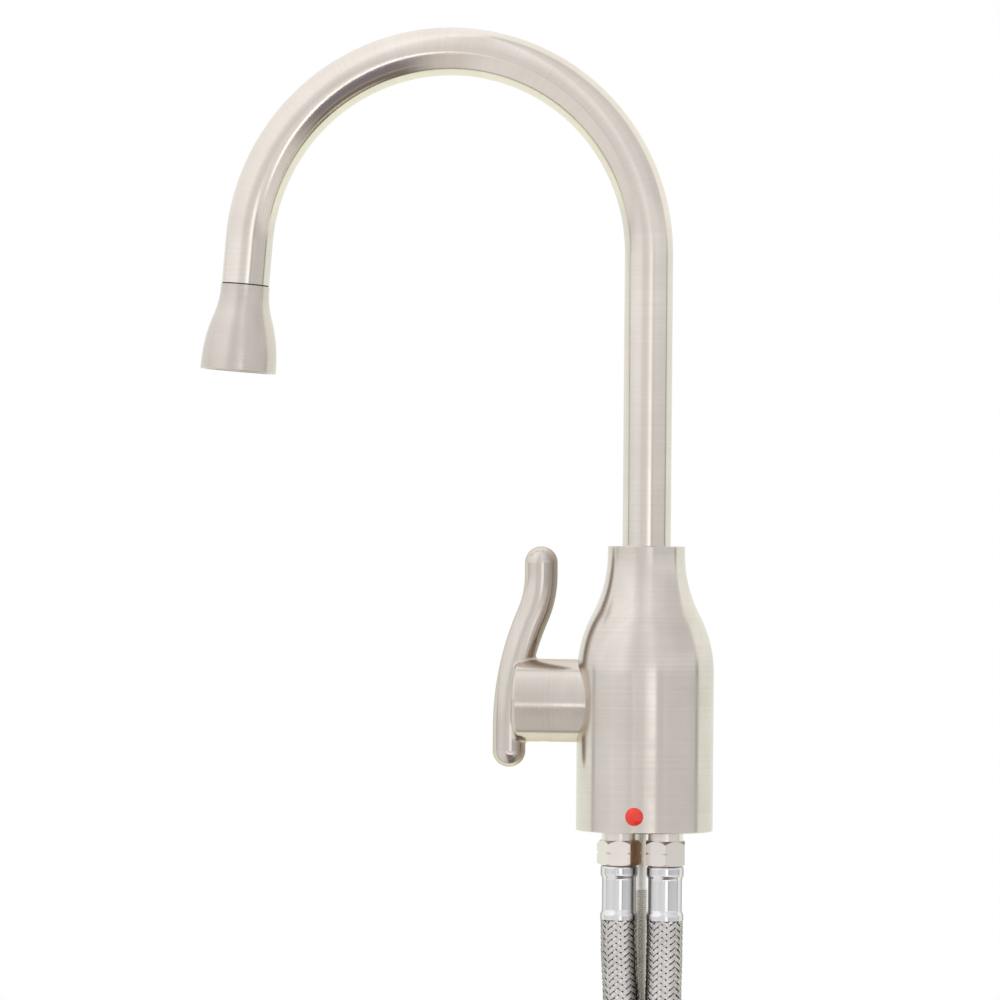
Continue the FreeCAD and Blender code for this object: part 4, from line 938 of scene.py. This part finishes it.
@dataclass
class StudioLight:
    """White room round the tap, as the metal mirrors it.

    Behind the tap the room is white. In front, shades by turn and level give the metal its upright bands: pale to the
    left, one bright upright strip beside the camera, dimmer to the right. Higher up a second set of shades takes over.
    Below, a bright strip slants down to the right with a dark place under part of it, and a narrow dim ring parts the
    front from the white behind. Angles are in degrees, and turns are counted from the camera to the right.
    """

    around: Stops = (
        (-98.0, 0.60), (-75.0, 0.68), (-60.0, 0.70), (-57.0, 0.84), (-53.0, 0.70), (-30.0, 0.67), (-27.0, 0.56),
        (-22.0, 0.67), (-6.0, 0.70), (-4.0, 0.66), (-1.0, 0.76), (2.0, 1.00), (7.0, 1.34), (16.0, 1.56),
        (20.0, 0.37), (30.0, 0.39), (34.0, 0.58), (38.0, 0.47), (70.0, 0.55), (98.0, 0.48),
    )
    around_above: Stops = (
        (-98.0, 0.98), (-70.0, 1.02), (-40.0, 1.06), (-28.0, 0.88), (-16.0, 0.78), (-6.0, 0.85), (0.0, 0.88),
        (10.0, 0.95), (20.0, 0.92), (45.0, 0.94), (65.0, 0.86), (98.0, 0.86),
    )
    above_share: Stops = ((-3.0, 0.0), (-0.8, 0.10), (1.0, 0.48), (3.0, 0.78), (6.0, 0.90), (13.0, 1.0))
    high_sides: Stops = ((-98.0, 1.0), (0.0, 1.0), (7.0, 1.01), (12.0, 0.99), (20.0, 0.88), (34.0, 0.82),
                         (98.0, 0.80))
    rise: Stops = ((0.0, 1.0), (6.0, 0.95), (14.0, 0.92), (30.0, 0.98), (50.0, 1.03), (90.0, 1.03))
    low: Color = (0.80, 0.79, 0.78)
    strip: Color = (2.30, 2.27, 2.22)
    under_strip: Color = (0.655, 0.63, 0.60)
    behind_above: Color = (0.965, 0.965, 0.915)
    behind_level: Color = (0.84, 0.88, 0.82)
    behind_below: Color = (0.94, 0.97, 0.83)
    dark_place: Stops = (
        (-12.0, (0.16, 0.14, 0.12)), (24.0, (0.20, 0.17, 0.145)), (27.0, (0.50, 0.44, 0.38)),
        (30.0, (0.22, 0.20, 0.215)), (66.0, (0.20, 0.185, 0.22)),
    )
    dark_roll: Roll = (3.0, 13.0, 42.0, 56.0)
    strip_roll: Roll = (-10.0, -3.0, 50.0, 72.0)
    strip_start: Span = (-6.0, 12.0)
    middle: Span = (-0.20, 0.10)
    strip_reach: float = 0.24
    strip_slant: float = 0.63
    left_reach: float = 45.0
    strip_below: Span = (-1.5, -3.0)
    strip_soft: Span = (-0.12, -0.05)
    strip_edge: Span = (0.0, 0.02)
    high_start: Span = (10.0, 20.0)
    low_start: Span = (-3.6, -5.4)
    left_turn: Span = (-60.0, -95.0)
    left_level: Span = (2.0, 9.0)
    ring_tilt: Span = (-2.5, -5.5)
    ring_level: Roll = (-4.2, -2.8, 3.0, 12.0)
    ring_below: Span = (-9.0, -12.0)
    ring_shade: float = 0.45
    behind_tilt: Span = (-10.0, -12.5)
    behind_rise: Span = (2.0, 12.0)
    behind_fall: Span = (-3.0, -14.0)

    def build(self) -> None:
        """Wires the world: white to the eye, patterned in reflections."""
        world = bpy.data.worlds.new("studio")
        bpy.context.scene.world = world
        world.use_nodes = True
        tree = world.node_tree
        way = add_node(tree, NodeKind.COORDINATES).outputs["Generated"]
        parts = add_node(tree, NodeKind.SEPARATE)
        tree.links.new(way, parts.inputs[0])
        toward = math_node(tree, "MULTIPLY", parts.outputs["Y"], -1.0)
        angle = math_node(tree, "ARCTAN2", parts.outputs["X"], toward)
        turned = math_node(tree, "SUBTRACT", angle, math.radians(CAMERA_TURN))
        level = math_node(tree, "ARCSINE", parts.outputs["Z"])
        tilt = self._tilt(tree, way)
        front = mix_colors(tree, self._step(tree, level, self.low_start), self._upper(tree, turned, level), self.low)
        front = self._with_strip(tree, front, parts, self._step(tree, level, self.strip_below), tilt)
        left = math_node(tree, "MULTIPLY", self._step(tree, turned, self.left_turn),
                         self._step(tree, level, self.left_level))
        tilt = math_node(tree, "ADD", tilt, math_node(tree, "MULTIPLY", left, math.radians(self.left_reach)))
        beside = math_node(tree, "MAXIMUM", self._within(tree, level, self.ring_level),
                           self._step(tree, level, self.ring_below))
        ring = math_node(tree, "MULTIPLY", self._step(tree, tilt, self.ring_tilt), beside)
        front = self._scaled(tree, front, range_node(tree, ring, (0.0, 1.0), (1.0, self.ring_shade)))
        back = mix_colors(tree, self._step(tree, level, self.behind_fall), self.behind_level, self.behind_below)
        back = mix_colors(tree, self._step(tree, level, self.behind_rise), back, self.behind_above)
        around = mix_colors(tree, self._step(tree, tilt, self.behind_tilt), front, back)
        path = add_node(tree, NodeKind.LIGHT_PATH)
        seen = mix_colors(tree, path.outputs["Is Camera Ray"], around, (1.0, 1.0, 1.0))
        tree.links.new(seen, tree.nodes["Background"].inputs["Color"])

    def _upper(self, tree: Nodes, turned: bpy.types.NodeSocket, level: bpy.types.NodeSocket) -> bpy.types.NodeSocket:
        """The front of the room from the horizon up.

        Args:
            tree: The world's tree.
            turned: The ray's turn from the camera.
            level: The ray's angle above the horizon.

        Returns:
            The socket with the colour.
        """
        by_turn = math_node(tree, "DIVIDE", turned, FULL_TURN)
        by_level = math_node(tree, "DIVIDE", level, math.pi)
        room = mix_colors(tree, self._ramp(tree, by_level, 180.0, self.above_share),
                          self._ramp(tree, by_turn, 360.0, self.around),
                          self._ramp(tree, by_turn, 360.0, self.around_above))
        room = self._scaled(tree, room, self._ramp(tree, by_level, 180.0, self.rise))
        high = self._scaled(tree, room, self._ramp(tree, by_turn, 360.0, self.high_sides))
        return mix_colors(tree, self._step(tree, level, self.high_start), room, high)

    def _step(self, tree: Nodes, angle: bpy.types.NodeSocket, span: Span) -> bpy.types.NodeSocket:
        """A mask that goes from 0 to 1 between two angles."""
        return range_node(tree, angle, (math.radians(span[0]), math.radians(span[1])))

    def _within(self, tree: Nodes, angle: bpy.types.NodeSocket, roll: Roll) -> bpy.types.NodeSocket:
        """A mask that rises between the first two angles and falls between the last two."""
        return math_node(tree, "MULTIPLY", self._step(tree, angle, roll[:2]), self._step(tree, angle, roll[:1:-1]))

    def _with_strip(self, tree: Nodes, room: bpy.types.NodeSocket, parts: bpy.types.Node,
                    share: bpy.types.NodeSocket, tilt: bpy.types.NodeSocket) -> bpy.types.NodeSocket:
        """Adds a bright slanting strip below the camera, and a dark place under it.

        Args:
            tree: The world's tree.
            room: The colours so far.
            parts: The node with the parts of the ray's direction.
            share: How far below the horizon the ray is, from 0 to 1.
            tilt: The ray's angle towards the camera.

        Returns:
            The socket with the colour.
        """
        across = math_node(tree, "SUBTRACT", parts.outputs["X"], self.middle[0])
        down = math_node(tree, "SUBTRACT", self.middle[1], parts.outputs["Z"])
        roll = math_node(tree, "ARCTAN2", across, down)
        reach = math_node(tree, "SQRT", math_node(tree, "ADD", math_node(tree, "MULTIPLY", across, across),
                                                  math_node(tree, "MULTIPLY", down, down)))
        slant = math_node(tree, "MULTIPLY", math_node(tree, "MAXIMUM", roll, 0.0), self.strip_slant)
        past = math_node(tree, "SUBTRACT", reach, math_node(tree, "ADD", slant, self.strip_reach))
        share = math_node(tree, "MULTIPLY", share, self._within(tree, roll, self.strip_roll))
        strip = math_node(tree, "MULTIPLY", range_node(tree, past, self.strip_soft),
                          range_node(tree, past, self.strip_edge, (1.0, 0.0)))
        strip = math_node(tree, "MULTIPLY", math_node(tree, "MULTIPLY", share, strip),
                          self._step(tree, roll, self.strip_start))
        under = math_node(tree, "MULTIPLY", share, range_node(tree, past, self.strip_edge))
        dark = math_node(tree, "MULTIPLY", under, self._within(tree, roll, self.dark_roll))
        room = mix_colors(tree, strip, room, self.strip)
        room = mix_colors(tree, under, room, self.under_strip)
        return mix_colors(tree, dark, room, self._ramp(tree, math_node(tree, "DIVIDE", tilt, math.pi), 180.0,
                                                       self.dark_place))

    def _ramp(self, tree: Nodes, share: bpy.types.NodeSocket, span: float, stops: Stops) -> bpy.types.NodeSocket:
        """Greys or colours by angle.

        Args:
            tree: The world's tree.
            share: The angle as a share of the span, from -0.5 to 0.5.
            span: Degrees from end to end.
            stops: Degrees and shade of each stop.

        Returns:
            The socket with the shade.
        """
        ramp = add_node(tree, NodeKind.RAMP)
        tree.links.new(math_node(tree, "ADD", share, 0.5), ramp.inputs["Fac"])
        elements = ramp.color_ramp.elements
        while len(elements) < len(stops):
            elements.new(1.0)
        for element, (degrees, shade) in zip(elements, stops):
            element.position = degrees / span + 0.5
            element.color = (*shade, 1.0) if isinstance(shade, tuple) else (shade, shade, shade, 1.0)
        return ramp.outputs["Color"]

    def _scaled(self, tree: Nodes, color: bpy.types.NodeSocket, share: bpy.types.NodeSocket) -> bpy.types.NodeSocket:
        """Makes a colour darker or lighter.

        Args:
            tree: The world's tree.
            color: The colour.
            share: What it is multiplied by.

        Returns:
            The socket with the new colour.
        """
        node = add_node(tree, NodeKind.VECTOR_MATH, operation="SCALE")
        tree.links.new(color, node.inputs[0])
        tree.links.new(share, node.inputs["Scale"])
        return node.outputs[0]

    def _tilt(self, tree: Nodes, way: bpy.types.NodeSocket) -> bpy.types.NodeSocket:
        """How far a ray leans towards the photographer's side of the room.

        Args:
            tree: The world's tree.
            way: The ray's direction.

        Returns:
            The socket with the angle.
        """
        across = math.radians(CAMERA_TURN)
        node = add_node(tree, NodeKind.VECTOR_MATH, operation="DOT_PRODUCT")
        tree.links.new(way, node.inputs[0])
        node.inputs[1].default_value = (math.sin(across), -math.cos(across), 0.0)
        return math_node(tree, "ARCSINE", node.outputs["Value"])


@dataclass
class FillLamp:
    """Large soft lamp in front of the tap; it lights matt surfaces and leaves no spot on the metal."""

    place: Point = (-0.7, -1.9, 1.3)
    target: Point = (-0.05, 0.0, 0.02)
    size: float = 1.4
    power: float = 19.0

    def build(self) -> bpy.types.Object:
        """Sets the lamp up.

        Returns:
            The lamp.
        """
        data = bpy.data.lights.new("fill", "AREA")
        data.size = self.size
        data.energy = self.power
        lamp = bpy.data.objects.new("fill", data)
        lamp.location = self.place
        lamp.rotation_euler = (Vector(self.target) - Vector(self.place)).to_track_quat("-Z", "Y").to_euler()
        lamp.visible_glossy = False
        lamp.visible_camera = False
        bpy.context.scene.collection.objects.link(lamp)
        return lamp


@dataclass
class Floor:
    """Pale round floor below the hoses, fading out towards its rim."""

    height: float = -0.3415
    radius: float = 0.5
    fade: Span = (0.49, 0.12)
    roughness: float = 0.9
    color: Color = (0.88, 0.88, 0.87)

    def build(self) -> bpy.types.Object:
        """Makes the floor and keeps it out of reflections.

        Returns:
            The floor.
        """
        bpy.ops.object.select_all(action="DESELECT")
        bpy.ops.mesh.primitive_circle_add(vertices=96, radius=self.radius, fill_type="TRIFAN",
                                          location=(0.0, 0.0, self.height))
        floor = bpy.context.object
        floor.name = "floor"
        bpy.ops.object.transform_apply(location=True, rotation=True, scale=True)
        floor.data.materials.append(self._material())
        floor.visible_glossy = False
        return floor

    def _material(self) -> bpy.types.Material:
        """A matt pale surface that turns clear at its rim.

        Returns:
            The material.
        """
        material = bpy.data.materials.new("pale_floor")
        material.use_nodes = True
        tree = material.node_tree
        shader = tree.nodes["Principled BSDF"]
        shader.inputs["Base Color"].default_value = (*self.color, 1.0)
        shader.inputs["Roughness"].default_value = self.roughness
        coordinates = add_node(tree, NodeKind.COORDINATES)
        reach = add_node(tree, NodeKind.VECTOR_MATH, operation="LENGTH")
        tree.links.new(coordinates.outputs["Object"], reach.inputs[0])
        tree.links.new(range_node(tree, reach.outputs["Value"], self.fade), shader.inputs["Alpha"])
        return material


@dataclass
class StudioCamera:
    """Camera level with the side valve's lever, a little to the right of the red dot."""

    turn: float = CAMERA_TURN
    distance: float = 1.793
    height: float = 0.1007
    aim_left: float = 0.0549
    aim_up: float = 0.0221
    roll: float = 0.5
    lens: float = 172.8
    sensor: float = 36.0

    def build(self) -> bpy.types.Object:
        """Sets the camera up.

        Returns:
            The camera.
        """
        turn = math.radians(self.turn)
        right = Vector((math.cos(turn), math.sin(turn), 0.0))
        place = Vector((math.sin(turn) * self.distance, -math.cos(turn) * self.distance, self.height))
        target = Vector((0.0, 0.0, self.height + self.aim_up)) - right * self.aim_left
        look = (target - place).to_track_quat("-Z", "Y").to_matrix().to_4x4()
        data = bpy.data.cameras.new("camera")
        data.lens = self.lens
        data.sensor_width = self.sensor
        camera = bpy.data.objects.new("camera", data)
        camera.matrix_world = (Matrix.Translation(place) @ look
                               @ Matrix.Rotation(math.radians(self.roll), 4, "Z"))
        bpy.context.scene.collection.objects.link(camera)
        bpy.context.scene.camera = camera
        return camera


LEFT_ROUTE: tuple[Point, ...] = (
    (-0.00865, -0.0045, -0.0330),
    (-0.00865, -0.0045, -0.0450),
    (-0.0069, -0.0050, -0.0680),
    (-0.0086, -0.0065, -0.1100),
    (-0.0150, -0.0080, -0.1650),
    (-0.0210, -0.0085, -0.2250),
    (-0.0230, -0.0085, -0.2700),
    (-0.0230, -0.0085, -0.3050),
)
RIGHT_ROUTE: tuple[Point, ...] = (
    (0.00865, -0.0045, -0.0330),
    (0.00865, -0.0045, -0.0450),
    (0.0082, -0.0049, -0.0680),
    (0.0098, -0.0050, -0.1100),
    (0.0150, -0.0035, -0.1650),
    (0.0200, -0.0015, -0.2250),
    (0.0215, -0.0008, -0.2700),
    (0.0215, -0.0008, -0.3050),
)


def dress_nodes() -> None:
    """Gives every carried-over CAD node its finish."""
    for finish, names in NODE_FINISHES.items():
        for name in names:
            dress(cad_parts[name], finish)


def main() -> None:
    """Builds the scene in order."""
    logging.basicConfig(level=logging.INFO, format="%(name)s: %(message)s")
    bpy.context.scene.view_settings.view_transform = "Standard"
    StudioCamera().build()
    StudioLight().build()
    FillLamp().build()
    Floor().build()
    BraidedHose("left", LEFT_ROUTE, 0.2728).build()
    BraidedHose("right", RIGHT_ROUTE, 0.2725).build()
    MountingStud().build()
    SeamShadeRing().build()
    SupplyNutThread("left", (-0.0230, -0.0085, 0.0)).build()
    SupplyNutThread("right", (0.0215, -0.0008, 0.0)).build()
    dress_nodes()


if __name__ == "__main__":
    main()
